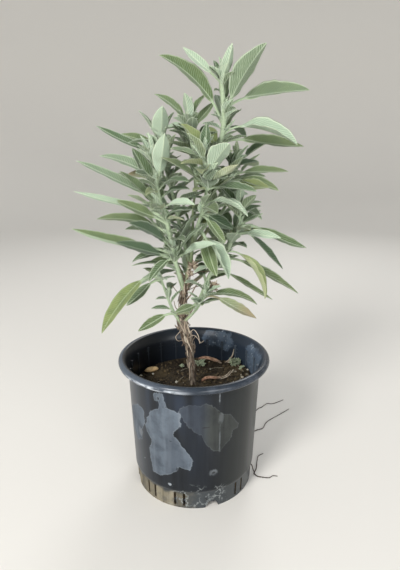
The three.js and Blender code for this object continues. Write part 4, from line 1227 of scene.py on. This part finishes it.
# Roots and litter
ROOT_THICK = [0.7, 0.4]
ROOT_MOUTH = 13
ROOTS = {
    "root_near": {
        "slot": -8.7,
        "lies": [[77, -10], [80, -3], [82, 8], [84, 16], [86, 22], [93, 27]],
        "branch": [[75.5, -12.5], [79, -18], [85, -20], [94, -21], [99, -17.5], [105, -18]],
    },
    "root_middle": {
        "slot": 42.7,
        "lies": [[70, 64], [89, 80], [95, 83], [101, 87], [107, 100], [115, 109], [130, 122],
                 [150, 140]],
    },
    "root_far": {
        "slot": 51.3,
        "lies": [[66, 88], [84, 116], [101, 141], [106, 144], [117, 156], [127, 156],
                 [146, 168]],
    },
}


def make_root(name, measures, material):
    """A root that comes down out of its slot and lies on the table."""
    piece = Piece()
    drop = [[-0.4, ROOT_MOUTH], [1.6, ROOT_MOUTH], [3.6, ROOT_MOUTH - 2.5], [5, 5], [7, 1]]
    wall = band_radius(ROOT_MOUTH) - WALL + 0.6
    out = [heading(measures["slot"]) * (wall + r) + UP * z for r, z in drop]

    def thick(t, angle):
        return mix(*ROOT_THICK, t) * (1 + 0.15 * np.sin(60 * t + 2 * angle))

    def on_table(points):
        return [np.array([x, y, mix(*ROOT_THICK, i / len(points))])
                for i, (x, y) in enumerate(points)]

    paths = [out + on_table(measures["lies"])]
    if "branch" in measures:
        paths.append(on_table(measures["branch"]))
    for path in paths:
        rings = stem_rings(path, 0, 1, 1.6, 8, thick, (0.01, 0.02, 1))
        rings[..., 2] = np.maximum(rings[..., 2], 0.02)
        tube(piece, rings)
    piece.make("fine_" + name, [material], [name])


DRY_LEAVES = {
    "dry_leaf_back": {
        "spine": [[5, 66, 1], [16, 63, 2.4], [28, 58, 1.5], [38, 52, 1], [45, 49, 3.5],
                  [49, 47, 8]],
        "half": 4.2,
        "curls": [[[38, 52, 1.5], [45, 52, 6], [50, 52, 13], [52, 52, 22]],
                  [[38, 52, 1.5], [44, 50, 3.5], [50, 50, 8], [54, 48, 7.5]]],
    },
    "dry_leaf_front": {
        "spine": [[9, -2, 3.5], [18, 1, 5], [28, 4, 3.5], [36, 11, 2.6], [42, 18, 2.6],
                  [46, 24, 4]],
        "half": 3.6,
        "curls": [[[28, 4, 3], [36, 8, 2.4], [43, 14, 3], [50, 25, 6]]],
    },
}
# Share of the spine that the dry blade covers, before it thins to its stalk
DRY_BLADE = 0.62


def make_dry_leaf(name, measures, material):
    piece = Piece()
    spine = [np.array([x, y, SOIL_LEVEL + z + 0.5]) for x, y, z in measures["spine"]]
    rows, columns = 40, 11
    points, where = [], []
    for sign in (1, -1):
        for i in range(rows):
            t = i / (rows - 1)
            centre = along(spine, t)
            side = unit(np.cross(UP, path_ahead(spine, t)))
            swell = math.sin(math.pi * min(1, (t + 0.06) / DRY_BLADE)) ** 0.7
            wide = max(0.55, measures["half"] * swell)
            for w in np.linspace(-1, 1, columns):
                bend = 0.75 * wide * abs(w) ** 1.7 + 0.35 * math.sin(7 * w + 15 * t)
                points.append(centre + side * wide * w * 0.92 + UP * (bend + sign * 0.2))
                where.append([t, wide * w, 0])
    face = rows * columns
    faces = grid_faces(rows, columns)
    faces += [quad[::-1] for quad in grid_faces(rows, columns, start=face)]
    # The narrow strips that close the two long sides and the two ends
    for i in range(rows - 1):
        a, b = i * columns, (i + 1) * columns
        faces.append((a, b, b + face, a + face))
        a, b = a + columns - 1, b + columns - 1
        faces.append((a + face, b + face, b, a))
    for j in range(columns - 1):
        faces.append((j, j + face, j + 1 + face, j + 1))
        a = face - columns + j
        faces.append((a + 1, a + 1 + face, a + face, a))
    piece.add(points, faces, where=np.array(where))
    for curl in measures["curls"]:
        path = [np.array([x, y, SOIL_LEVEL + z + 0.8]) for x, y, z in curl]
        rings = stem_rings(path, 0, 1, 1.2, 8, lambda t, a: (
            0.55 + 0.9 * math.sin(math.pi * t) ** 2 * len(measures["curls"]) / 2)
            * (0.75 + 0.45 * np.cos(a)), (0.2, 0.9, 0.3))
        tube(piece, rings, where=(1, 0, 0))
    piece.make("fine_" + name, [material], [name])


FLAKE_AT = [-56, 33]
FLAKE_OUTLINE = [[-9, -3], [-6, 5], [1, 7], [8, 4], [9, -2], [3, -6], [-4, -6]]
# Share of the outline and height over the soil's level, ring by ring
FLAKE_RINGS = [(0.1, 1.4), (0.6, 1.2), (0.9, 1.7), (1, 2.6), (0.93, 3.4), (0.7, 4.1),
               (0.35, 3.6), (0.08, 3.3)]


def make_flake(material):
    piece = Piece()
    sides = 28
    outline = [np.array([*p, 0.0]) for p in FLAKE_OUTLINE + FLAKE_OUTLINE[:1]]
    rings = []
    for grow, z in FLAKE_RINGS:
        ring = []
        for j in range(sides):
            x, y, _ = along(outline, j / sides)
            wave = 0.25 * math.sin(x + 1.3 * y)
            ring.append([FLAKE_AT[0] + x * grow, FLAKE_AT[1] + y * grow,
                         SOIL_LEVEL + z + 0.1 * x + wave])
        rings.append(ring)
    tube(piece, np.array(rings))
    piece.make("bark_flake", [material], ["flake"])


WEED_AT = [50, 40]
# Clumps of little weeds and moss: place, count, size
CLUMPS = [(WEED_AT, 9, 1), ([56, 43], 16, 0.75), ([9, 50], 7, 0.8), ([2, 58], 4, 0.6),
          ([-16, 46], 3, 0.7), ([60, 30], 5, 0.5)]


def in_pot(point):
    """Whether a point is well inside the pot's wall."""
    return math.hypot(point[0], point[1]) < inner_radius(point[2]) - 1.5


def make_weed(materials):
    piece = Piece()
    draw = draws(55)
    for at, count, size in CLUMPS:
        for _ in range(count):
            x, y = at[0] + 9 * size * (draw() - 0.5), at[1] + 9 * size * (draw() - 0.5)
            foot = np.array([x, y, crumbled(x, y) - 0.3])
            rise = mix(20, 75, draw())
            top = foot + heading(360 * draw()) * 3 * draw() + UP * mix(1.5, 7, draw()) * size
            if not in_pot(top):
                continue
            tube(piece, stem_rings([foot, top], 0, 1, 2, 6, taper(0.3, 0.3)), 1)
            for j in range(5):
                leaf = Leaf(1, 72 * j + 40 * draw(), rise - 30 * draw(),
                            mix(3, 6.5, draw()) * size, mix(2, 3.2, draw()) * size, 30, 0)
                tone = (0.3 * draw(), 0.2 * draw(), mix(-0.9, 0.1, draw()))
                if in_pot(top + heading(leaf.azimuth) * leaf.length):
                    fine_leaf(piece, top, leaf, tone, 40 * draw(), steps=8)
    piece.make("little_weed", materials, ["weed"])


# Materials
class Value:
    """A number, colour or direction that a material works out at each point of a surface."""

    def __init__(self, paint, source):
        self.paint, self.source = paint, source

    def __add__(self, other):
        return self.paint.maths("ADD", self, other)

    def __sub__(self, other):
        return self.paint.maths("SUBTRACT", self, other)

    def __mul__(self, other):
        return self.paint.maths("MULTIPLY", self, other)

    def __abs__(self):
        return self.paint.maths("ABSOLUTE", self)


def socket(node, key):
    if isinstance(key, int):
        return node.inputs[key]
    return next(s for s in node.inputs if s.name == key and s.enabled)


class Paint:
    """The nodes of one material."""

    def __init__(self, name):
        self.material = bpy.data.materials.new(name)
        self.material.use_nodes = True
        self.tree = self.material.node_tree
        self.shader = self.tree.nodes["Principled BSDF"]
        self.place = self.result("TexCoord", {}, "Object")

    def put(self, where, value):
        if isinstance(value, Value):
            self.tree.links.new(value.source, where)
        else:
            where.default_value = (*value, 1) if where.type == "RGBA" else value

    def set(self, **values):
        for key, value in values.items():
            self.put(self.shader.inputs[key.replace("_", " ")], value)

    def node(self, kind, inputs, **settings):
        made = self.tree.nodes.new("ShaderNode" + kind)
        for key, value in settings.items():
            setattr(made, key, value)
        for key, value in inputs.items():
            self.put(socket(made, key), value)
        return made

    def result(self, kind, inputs, key=0, **settings):
        """What a new node gives."""
        return Value(self, self.node(kind, inputs, **settings).outputs[key])

    def parts(self, whole):
        return [Value(self, part) for part in self.node("SeparateXYZ", {0: whole}).outputs]

    def value(self, name):
        """The three parts of a surface value, and the whole of it."""
        whole = self.result("Attribute", {}, "Vector", attribute_name=name)
        return [*self.parts(whole), whole]

    def maths(self, operation, a, b=0.0):
        return self.result("Math", {0: a, 1: b}, operation=operation)

    def ramp(self, x, low, high, to_low=0.0, to_high=1.0):
        """Goes smoothly from to_low, where x is low, to to_high, where x is high."""
        return self.result("MapRange", {"Value": x, "From Min": low, "From Max": high,
                                        "To Min": to_low, "To Max": to_high},
                           "Result", interpolation_type="SMOOTHSTEP")

    def blend(self, share, a, b):
        """Colour a, with a share of colour b over it."""
        return self.result("Mix", {0: share, 6: a, 7: b}, 2, data_type="RGBA", clamp_factor=True)

    def noise(self, scale, vector=None, detail=4.0, rough=0.55):
        return self.result("TexNoise", {"Vector": vector or self.place, "Scale": scale,
                                        "Detail": detail, "Roughness": rough}, "Fac")

    def stretched(self, scale, detail, rough=0.55):
        """Noise with its own scale along each axis."""
        place = self.result("Mapping", {"Vector": self.place, "Scale": scale})
        return self.noise(1, place, detail, rough)

    def bump(self, height, distance, strength=1.0):
        self.set(Normal=self.result("Bump", {"Height": height, "Distance": distance,
                                             "Strength": strength}))


# Side veins of a leaf, in millimetres: their pitch, their bend to the tip and how far they stray
VEIN_PITCH = 3.1
VEIN_BEND = 0.035
VEIN_STRAY = 3.0
FELT = (0.6, 0.74, 0.58)
FELT_VEIN = (0.84, 0.94, 0.8)
FELT_FURROW = (0.35, 0.485, 0.34)
SHADED_LEAF = (0.045, 0.085, 0.05)
MIDRIB = (0.66, 0.76, 0.57)
LEAF_EDGE = (0.7, 0.79, 0.62)
FADED_LEAF = (0.36, 0.27, 0.17)


def leaf_face(p, under, blotch, vein, furrow, cell):
    """The green of the top or of the underside with its veins, before any tone."""
    if under:
        face = p.blend(blotch, (0.16, 0.225, 0.135), (0.235, 0.31, 0.2))
        face = p.blend(furrow * 0.6, face, (0.11, 0.165, 0.095))
        return p.blend(vein * 0.8, face, (0.5, 0.6, 0.44))
    face = p.blend(p.ramp(blotch, 0.3, 0.7), (0.062, 0.112, 0.051), (0.115, 0.178, 0.085))
    face = p.blend(p.ramp(cell, 0.2, 0.75, 0.0, 0.35), face, (0.045, 0.088, 0.04))
    face = p.blend(furrow * 0.6, face, (0.032, 0.066, 0.03))
    return p.blend(vein * 0.75, face, (0.31, 0.4, 0.27))


def leaf_paint(name, under):
    p = Paint(name)
    along_mm, across_mm, _, where = p.value("where")
    share, edge, _, _ = p.value("share")
    yellow, brown, pale, _ = p.value("tone")
    off, spread = abs(across_mm), abs(edge)
    slant = along_mm - off - off * off * VEIN_BEND + p.noise(0.22, where, 2.0) * VEIN_STRAY
    phase = p.maths("PINGPONG", slant, VEIN_PITCH / 2)
    clear = p.ramp(p.noise(0.3, where, 2.0), 0.3, 0.55, 0.6, 1.0)
    vein = p.ramp(phase, 0.8, 0.15) * clear
    furrow = p.ramp(phase, 0.8, 1.45) * clear
    cell = p.result("TexVoronoi", {"Vector": where, "Scale": 1.25 if under else 1.05}, "Distance",
                    feature="F1")
    blotch = p.noise(0.12, where, 3.0)
    base = leaf_face(p, under, blotch, vein, furrow, cell)
    felt = p.blend(vein * 0.75, FELT, FELT_VEIN)
    felt = p.blend(furrow * 0.65, felt, FELT_FURROW)
    base = p.blend(p.ramp(pale, 0.0, 0.8, 0.0, 0.9), base, felt)
    # Painted shade: below nought the leaf is darkened towards SHADED_LEAF
    base = p.blend(p.ramp(pale, 0.0, -1.0, 0.0, 0.62), base, SHADED_LEAF)
    # The midrib and the rim show less on a leaf darkened by painted shade
    lit = p.ramp(pale, -0.75, 0.5, 0.45, 1.0)
    base = p.blend(p.ramp(off, 1.0 if under else 0.8, 0.35) * lit * 0.7, base, MIDRIB)
    base = p.blend(p.ramp(spread, 0.82, 0.95) * lit * 0.92, base, LEAF_EDGE)
    uneven = p.ramp(blotch * 0.9 + spread * 0.25, 0.3, 0.7, 0.55, 1.0)
    base = p.blend(yellow * uneven, base, (0.5, 0.53, 0.24) if under else (0.34, 0.4, 0.14))
    base = p.blend(brown * p.ramp(share, 0.3, 0.85, 0.25, 1.0), base, FADED_LEAF)
    stalk = p.blend(brown, (0.44, 0.54, 0.37), (0.24, 0.18, 0.11))
    base = p.blend(p.ramp(share, 0.0, 0.06), stalk, base)
    p.set(Base_Color=base, Roughness=0.82, Specular_IOR_Level=0.25, Sheen_Weight=0.25,
          Sheen_Roughness=0.5)
    p.bump(vein * (0.8 if under else -0.7) + cell * 0.55, 0.0005, 0.9)
    # Light that comes through the leaf
    glow = p.result("BsdfTranslucent", {"Color": p.blend(0.5, base, (0.45, 0.6, 0.2))})
    both = p.result("MixShader", {0: 0.24, 1: Value(p, p.shader.outputs[0]), 2: glow})
    p.put(p.tree.nodes["Material Output"].inputs["Surface"], both)
    return p.material


# Outlines of the lime on the wall, in degrees from the front and height: strong, faint, and inside,
# where the second inside outline is a painted reflection
LIME_AND_SHEEN = [
    [[(-27, 146), (-29, 129), (-37, 121), (-44, 99), (-42, 87), (-38, 83), (-41, 70), (-40, 53),
      (-38, 39), (-29, 40), (-15, 48), (-12, 56), (-3, 53), (-1, 67), (-8, 83), (-14, 92),
      (-17, 98), (-10, 110), (-11, 125), (-17, 127), (-22, 130), (-23, 139), (-24, 146)],
     [(-73, 103), (-58, 116), (-47, 118), (-46, 103), (-51, 84), (-50, 74), (-61, 66), (-67, 78)],
     [(-33, 144), (-28, 145), (-29, 137), (-33, 134)],
     [(96, 120), (112, 132), (126, 112), (122, 84), (108, 60), (98, 78)],
     [(-128, 96), (-116, 112), (-104, 104), (-100, 70), (-112, 52), (-124, 66)]],
    [[(-11, 128), (-8, 134), (-2, 136), (4, 134), (10, 137), (16, 133), (21, 127), (25, 121),
      (31, 119), (40, 104), (41, 98), (34, 95), (32, 85), (26, 77), (22, 72), (15, 78), (10, 87),
      (7, 99), (1, 104), (-5, 110), (-7, 118)],
     [(58, 130), (70, 136), (82, 120), (84, 90), (74, 70), (64, 84), (60, 108)],
     [(150, 118), (160, 126), (174, 114), (171, 92), (176, 62), (166, 44), (156, 70)],
     [(-156, 110), (-140, 118), (-132, 90), (-146, 64), (-160, 82)]],
    [[(80, 158), (84, 134), (98, 118), (112, 122), (122, 140), (116, 158)],
     [(136, 146), (146, 136), (164, 138), (174, 148), (168, 159), (144, 160)]],
]
# How far from an outline its distances are told apart
LIME_REACH = 15
# Shades of the small marks
PALE = (0.3, 0.33, 0.36)
DARK = (0.008, 0.009, 0.01)
# Small marks: shade, share, degrees from the front, height, half size across and up
MARKS = [
    (PALE, 0.45, 21, 141, 1.2, 8), (PALE, 0.14, 23, 117, 4, 7), (PALE, 0.8, -21, 31, 2.4, 1.8),
    (PALE, 0.3, 18, 49, 5, 3.6), (PALE, 0.6, -49, 51, 1, 1), (PALE, 0.2, 22, 92, 0.9, 15),
    (PALE, 0.25, -53, 84, 4, 6), (DARK, 0.8, 17.5, 48, 2.6, 1.6), (DARK, 0.8, 9, 108, 5.5, 1.1),
    (DARK, 0.8, 22, 125, 5, 1), (DARK, 0.7, -19, 89, 2.6, 1.2), (DARK, 0.6, 25, 104, 1.5, 1.5),
    (DARK, 0.6, -14, 53, 1.5, 3),
]


class PotPaint(Paint):
    """The pot's plastic with all that lies on it."""

    def __init__(self):
        super().__init__("slate_plastic")
        _, self.height, _, _ = self.value("where")
        self.within, self.rib, _, _ = self.value("share")
        self.strong, self.faint, self.chalk, _ = self.value("tone")
        self.outside = self.maths("SUBTRACT", 1, self.within)
        self.body = self.outside * self.ramp(self.height, 21, 24)
        x, y, _ = self.parts(self.place)
        # Millimetres round the wall from the front, positive to the right
        self.arc = self.maths("ARCTAN2", x, y * -1) * BODY_TOP
        # The same, brought back to nought at the back, where it would jump
        self.aside = self.arc * self.ramp(abs(self.arc), 235, 130)
        self.slow = self.noise(50, rough=0.6) * 12 - 6
        self.warp = self.slow + self.noise(210, detail=2.0, rough=0.6) * 4 - 2
        self.streak = self.stretched((110, 110, 7), 3.0)
        self.wide_streak = self.stretched((34, 34, 5), 2.0)
        self.cloud = self.noise(48, detail=5.0, rough=0.62)

    def plastic(self):
        """Bare plastic with painted light: bluish reflection in streaks and at the left, greenish
        grey at the right.
        """
        base = self.blend(self.ramp(self.streak, 0.35, 0.7), (0.005, 0.007, 0.01),
                          (0.012, 0.015, 0.02))
        # Painted reflection: bluish streaks on the upper wall, left of the front
        painted_blue_sheen = self.ramp(self.wide_streak, 0.42, 0.6) * self.ramp(self.height, 70, 140, 0.3, 0.9)
        base = self.blend(painted_blue_sheen * self.ramp(self.aside, 25, 0), base, (0.018, 0.026, 0.042))
        # Painted reflection: the left side is painted paler and bluish
        base = self.blend(self.ramp(self.aside, -45, -85, 0.0, 0.75), base, (0.042, 0.052, 0.066))
        # Painted light: the right side is painted greenish grey
        base = self.blend(self.ramp(self.aside, 15, 60, 0.0, 0.7), base, (0.013, 0.016, 0.015))
        # Painted highlight: a paler band down the right of the wall
        painted_highlight_stripe = self.ramp(abs(self.arc - 84), 14, 2, 0.0, 0.4)
        return self.blend(painted_highlight_stripe, base, (0.05, 0.055, 0.055))

    def add_film(self, base):
        """Faint dried film, paler along its rim."""
        edge = self.faint + self.warp
        film = self.ramp(edge, -0.3, 0.6) * self.body * self.ramp(self.streak, 0.3, 0.7, 0.45, 1.0)
        film = film * self.ramp(self.cloud, 0.3, 0.6, 0.55, 1.0)
        shade = self.blend(self.ramp(self.aside, 2, 22), (0.044, 0.055, 0.073),
                           (0.038, 0.043, 0.04))
        base = self.blend(film, base, shade)
        rim = self.ramp(edge, 1.3, 0.4) * film
        return self.blend(rim * 0.5, base, (0.1, 0.11, 0.12)), film

    def add_lime(self, base):
        edge = self.strong + self.warp
        lime = self.ramp(edge, -0.5, 0.8) * self.body
        shade = self.blend(self.ramp(self.cloud, 0.32, 0.62), (0.055, 0.07, 0.09),
                           (0.115, 0.142, 0.175))
        shade = self.blend(self.ramp(self.streak, 0.45, 0.75, 0.0, 0.6), shade, (0.17, 0.2, 0.235))
        shade = self.blend(self.ramp(self.wide_streak, 0.5, 0.35, 0.0, 0.5), shade,
                           (0.05, 0.062, 0.082))
        base = self.blend(lime * 0.9, base, shade)
        border = self.ramp(edge, 1.8, 0.6) * lime
        return self.blend(border * 0.3, base, (0.22, 0.245, 0.27)), lime

    def add_marks(self, base):
        for shade, share, front, z, wide, high in MARKS:
            across = (self.arc - math.radians(front) * BODY_TOP) * (1 / wide)
            up = (self.height - z) * (1 / high)
            far = self.maths("SQRT", across * across + up * up) + self.warp * 0.25
            base = self.blend(self.ramp(far, 1.1, 0.4, 0.0, share) * self.outside, base, shade)
        return base

    def add_rim(self, base):
        """The rim, painted paler at the left, with a painted highlight along its lower edge at the
        left.
        """
        rim = self.ramp(self.height, 150, 152.5) * self.outside
        # Painted light: the rim is painted paler towards the left, where the light falls
        shade = self.blend(self.ramp(self.aside, 20, -75), (0.022, 0.029, 0.04),
                           (0.085, 0.105, 0.135))
        shade = self.blend(self.ramp(self.cloud, 0.42, 0.62, 0.0, 0.5), shade,
                           (0.075, 0.09, 0.115))
        # Painted highlight: pale glints along the rim's lower edge at the left
        painted_rim_glint = self.ramp(abs(self.height - 154.5), 4.5, 1.5)
        painted_rim_glint = painted_rim_glint * self.ramp(abs(self.arc + 42), 46, 12)
        painted_rim_glint = painted_rim_glint * self.ramp(self.stretched((45, 45, 160), 4.0), 0.4, 0.56)
        shade = self.blend(painted_rim_glint, shade, (0.68, 0.73, 0.8))
        return self.blend(rim * 0.95, base, shade), rim

    def add_mud(self, base):
        """Mud and salt on the lower band."""
        line = self.height - self.cloud * 24
        mud = self.ramp(line, 13, 6) * self.ramp(self.height, 26, 22.5) * self.outside
        mud = mud * self.ramp(self.slow * 8 + self.aside, 15, -30)
        mud = mud * self.ramp(self.noise(110), 0.3, 0.55, 0.4, 1.0)
        film = self.ramp(self.height, 25, 22, 0.0, 0.6) * self.outside
        base = self.blend(film, base, self.blend(self.cloud, (0.03, 0.036, 0.04),
                                                 (0.085, 0.095, 0.1)))
        base = self.blend(mud, base, self.blend(self.ramp(self.streak, 0.3, 0.65),
                                                (0.1, 0.088, 0.06), (0.23, 0.205, 0.15)))
        squiggle = abs(self.noise(75, detail=3.0, rough=0.65) - 0.5)
        salt = self.ramp(squiggle, 0.035, 0.015) * self.ramp(line, 22, 14)
        salt = salt * self.ramp(abs(self.arc - 4), 46, 28)
        salt = salt * self.ramp(self.noise(60, detail=2.0), 0.4, 0.55)
        return self.blend(salt * 0.7, base, (0.24, 0.26, 0.26)), mud

    def inner_face(self):
        """The inside of the wall: painted light at the right, chalky marks, a painted reflection
        and painted glints, and ribs painted paler at the right.
        """
        # Painted light: dark at the left, paler and bluish towards the right
        base = self.blend(self.ramp(self.aside, -110, 120), (0.005, 0.006, 0.008),
                          (0.022, 0.032, 0.048))
        # Chalky water marks, with a painted reflection beside them at the back right
        chalk_and_painted_sheen = self.ramp(self.warp * 1.6 + self.chalk, -1.5, 2.5)
        chalk_and_painted_sheen = chalk_and_painted_sheen * self.ramp(self.cloud, 0.35, 0.6, 0.3, 1.0)
        base = self.blend(chalk_and_painted_sheen * 0.75, base, (0.12, 0.165, 0.23))
        # Painted highlights: glossy specks over the marks and the reflection
        glint = chalk_and_painted_sheen * self.ramp(self.noise(330, detail=2.0), 0.6, 0.68)
        base = self.blend(glint * 0.7, base, (0.45, 0.5, 0.55))
        # Painted light: the ribs are painted paler towards the right
        ribs = self.blend(self.ramp(self.aside, -60, 120), (0.02, 0.024, 0.03), (0.08, 0.1, 0.125))
        base = self.blend(self.rib * 0.8, base, ribs)
        return self.blend(self.ramp(self.height, 26, 20), base, (0.15, 0.11, 0.065))


def pot_paint():
    p = PotPaint()
    base, film = p.add_film(p.plastic())
    base, lime = p.add_lime(base)
    base, rim = p.add_rim(p.add_marks(base))
    base, mud = p.add_mud(base)
    base = p.blend(p.within, base, p.inner_face())
    floor_pad = (0.03, 0.035, 0.045)
    base = p.blend(p.ramp(p.height, -5, 0), floor_pad, base)
    gloss = p.ramp(rim - p.cloud * 0.6, -0.4, 0.7, 0.32, 0.2)
    dull = p.maths("MAXIMUM", p.maths("MAXIMUM", lime * 0.3, mud * 0.5), film * 0.12)
    p.set(Base_Color=base, Roughness=gloss + dull, Specular_IOR_Level=0.3)
    p.bump(p.streak * 0.4 + mud * 0.8, 0.0003, 0.6)
    return p.material


def soil_paint():
    p = Paint("damp_loam")
    chance, gravel, white, _ = p.value("share")
    grain = p.noise(260, detail=5.0, rough=0.7)
    patch = p.noise(34)
    base = p.blend(p.ramp(grain, 0.32, 0.68), (0.01, 0.0075, 0.0045), (0.058, 0.043, 0.023))
    base = p.blend(p.ramp(patch, 0.42, 0.6, 0.0, 0.75), base, (0.016, 0.011, 0.007))
    base = p.blend(p.ramp(patch, 0.45, 0.3, 0.0, 0.4), base, (0.09, 0.064, 0.03))
    base = p.blend(p.ramp(chance, 0.55, 1.0, 0.0, 0.6), base, (0.15, 0.11, 0.06))
    base = p.blend(gravel * 0.8, base, p.blend(chance, (0.16, 0.14, 0.1), (0.42, 0.38, 0.3)))
    base = p.blend(white * 0.8, base, (0.6, 0.58, 0.5))
    p.set(Base_Color=base, Roughness=0.9, Specular_IOR_Level=0.25)
    p.bump(grain, 0.0008)
    return p.material


def bark_paint():
    p = Paint("shredded_bark")
    age, _, shade, _ = p.value("share")
    fibre = p.stretched((900, 900, 90), 5.0, 0.65)
    groove = p.stretched((330, 330, 38), 3.0, 0.6)
    patch = p.noise(70, detail=3.0)
    old = p.blend(p.ramp(fibre, 0.32, 0.66), (0.05, 0.04, 0.032), (0.34, 0.285, 0.225))
    old = p.blend(p.ramp(groove, 0.48, 0.38, 0.0, 0.85), old, (0.016, 0.01, 0.007))
    old = p.blend(p.ramp(patch, 0.5, 0.7, 0.0, 0.45), old, (0.26, 0.185, 0.13))
    shred = p.blend(p.ramp(shade, 0.15, 0.5), (0.09, 0.062, 0.045), (0.3, 0.23, 0.17))
    shred = p.blend(p.ramp(shade, 0.5, 0.9), shred, (0.56, 0.48, 0.38))
    shred = p.blend(p.ramp(fibre, 0.55, 0.35, 0.0, 0.55), shred, (0.05, 0.033, 0.022))
    old = p.blend(p.ramp(shade, 0.02, 0.14), old, shred)
    young = p.blend(fibre, (0.24, 0.32, 0.17), (0.4, 0.47, 0.29))
    p.set(Base_Color=p.blend(p.ramp(age, 0.15, 0.7), young, old), Roughness=0.88,
          Specular_IOR_Level=0.2)
    p.bump(fibre + groove, 0.0007, 0.9)
    return p.material


def plain_paint(name, dark, light_shade, scale):
    p = Paint(name)
    grain = p.noise(scale, detail=5.0, rough=0.6)
    p.set(Base_Color=p.blend(p.ramp(grain, 0.32, 0.68), dark, light_shade), Roughness=0.85,
          Specular_IOR_Level=0.3)
    p.bump(grain, 0.0004, 0.8)
    return p.material


def dry_leaf_paint():
    """Brown at the blade's body, pale and greyish along the curled stalk."""
    p = Paint("dry_leaf")
    share, across, _, _ = p.value("where")
    grain = p.noise(240, detail=5.0, rough=0.6)
    veins = p.stretched((500, 500, 60), 3.0)
    body = p.blend(p.ramp(grain, 0.35, 0.65), (0.15, 0.075, 0.045), (0.42, 0.25, 0.17))
    body = p.blend(p.ramp(veins, 0.5, 0.4, 0.0, 0.6), body, (0.08, 0.04, 0.025))
    body = p.blend(p.ramp(abs(across), 2.4, 3.8, 0.0, 0.4), body, (0.5, 0.38, 0.27))
    stalk = p.blend(p.ramp(grain, 0.3, 0.7), (0.3, 0.24, 0.18), (0.58, 0.5, 0.4))
    p.set(Base_Color=p.blend(p.ramp(share, 0.35, 0.62), body, stalk), Roughness=0.75,
          Specular_IOR_Level=0.3)
    p.bump(grain, 0.0005, 0.8)
    return p.material


# Light, floor and camera
def light(name, location, target, size, power, colour):
    """A round area light of this size, aimed at its target; places in metres."""
    data = bpy.data.lights.new(name, "AREA")
    data.shape, data.size, data.energy, data.color = "DISK", size, power, colour
    made = bpy.data.objects.new(name, data)
    made.location = location
    aim = Vector(target) - Vector(location)
    made.rotation_mode = "QUATERNION"
    made.rotation_quaternion = aim.to_track_quat("-Z", "Y")
    bpy.context.scene.collection.objects.link(made)


# Metres: how far the floor is flat, the radius of its bend and the top of the backdrop
FLOOR_FLAT = 2.2
FLOOR_BEND = 1.1
BACKDROP_TOP = 2.4


def make_stage():
    """A pale floor that rises into a pale backdrop all round."""
    profile = [(0.001, 0), (0.8, 0), (1.6, 0), (FLOOR_FLAT, 0)]
    for k in np.radians(np.arange(9, 91, 9)):
        profile.append((FLOOR_FLAT + FLOOR_BEND * math.sin(k), FLOOR_BEND * (1 - math.cos(k))))
    profile.append((FLOOR_FLAT + FLOOR_BEND, BACKDROP_TOP))
    sides = 96
    points = np.concatenate([circle(r, z, sides) for r, z in profile])
    mesh = bpy.data.meshes.new("pale_floor")
    mesh.from_pydata(points.tolist(), [], grid_faces(len(profile), sides, True))
    mesh.polygons.foreach_set("use_smooth", [True] * len(mesh.polygons))
    p = Paint("pale_floor")
    p.set(Base_Color=(0.75, 0.73, 0.69), Roughness=0.7, Specular_IOR_Level=0.2)
    mesh.materials.append(p.material)
    floor = bpy.data.objects.new("pale_floor", mesh)
    bpy.context.scene.collection.objects.link(floor)
    world = bpy.data.worlds.new("studio")
    world.use_nodes = True
    sky = world.node_tree.nodes["Background"]
    sky.inputs["Color"].default_value = (0.93, 0.96, 1.0, 1)
    sky.inputs["Strength"].default_value = 0.42
    bpy.context.scene.world = world
    light("key", (-1.1, -1.6, 1.45), (0, 0, 0.25), 0.8, 49, (1.0, 0.985, 0.96))
    light("fill", (0.9, -1.6, 0.3), (0, 0, 0.3), 1.2, 24, (0.98, 0.99, 1.0))
    light("back", (0.4, 1.5, 1.6), (0, 0, 0.3), 0.9, 12, (1.0, 1.0, 1.0))


# The photograph's view: height and focal length in its pixels, place in metres, degrees down
PICTURE_HEIGHT = 570
FOCAL_LENGTH = 442
CAMERA_AT = (0.0072, -0.491, 0.381)
CAMERA_DOWN = 15.44


def make_camera():
    data = bpy.data.cameras.new("camera")
    data.sensor_fit = "AUTO"
    data.sensor_width = 36
    data.lens = data.sensor_width * FOCAL_LENGTH / PICTURE_HEIGHT
    data.clip_start, data.clip_end = 0.01, 30
    camera = bpy.data.objects.new("camera", data)
    camera.location = CAMERA_AT
    camera.rotation_euler = (math.radians(90 - CAMERA_DOWN), 0, 0)
    bpy.context.scene.collection.objects.link(camera)
    bpy.context.scene.camera = camera


# Everything, piece by piece
leaf_paints = [leaf_paint("sage_top", False), leaf_paint("sage_underside", True)]
make_pot(pot_paint())
make_soil(soil_paint())
make_trunk(bark_paint())
make_shoots(leaf_paints)
root_paint = plain_paint("dark_root", (0.02, 0.013, 0.008), (0.06, 0.04, 0.025), 400)
for root_name, root_measures in ROOTS.items():
    make_root(root_name, root_measures, root_paint)
dry_paint = dry_leaf_paint()
for leaf_name, leaf_measures in DRY_LEAVES.items():
    make_dry_leaf(leaf_name, leaf_measures, dry_paint)
make_flake(plain_paint("pale_flake", (0.38, 0.25, 0.12), (0.58, 0.42, 0.23), 160))
make_weed(leaf_paints)
make_stage()
make_camera()
bpy.context.scene.view_settings.view_transform = "Standard"
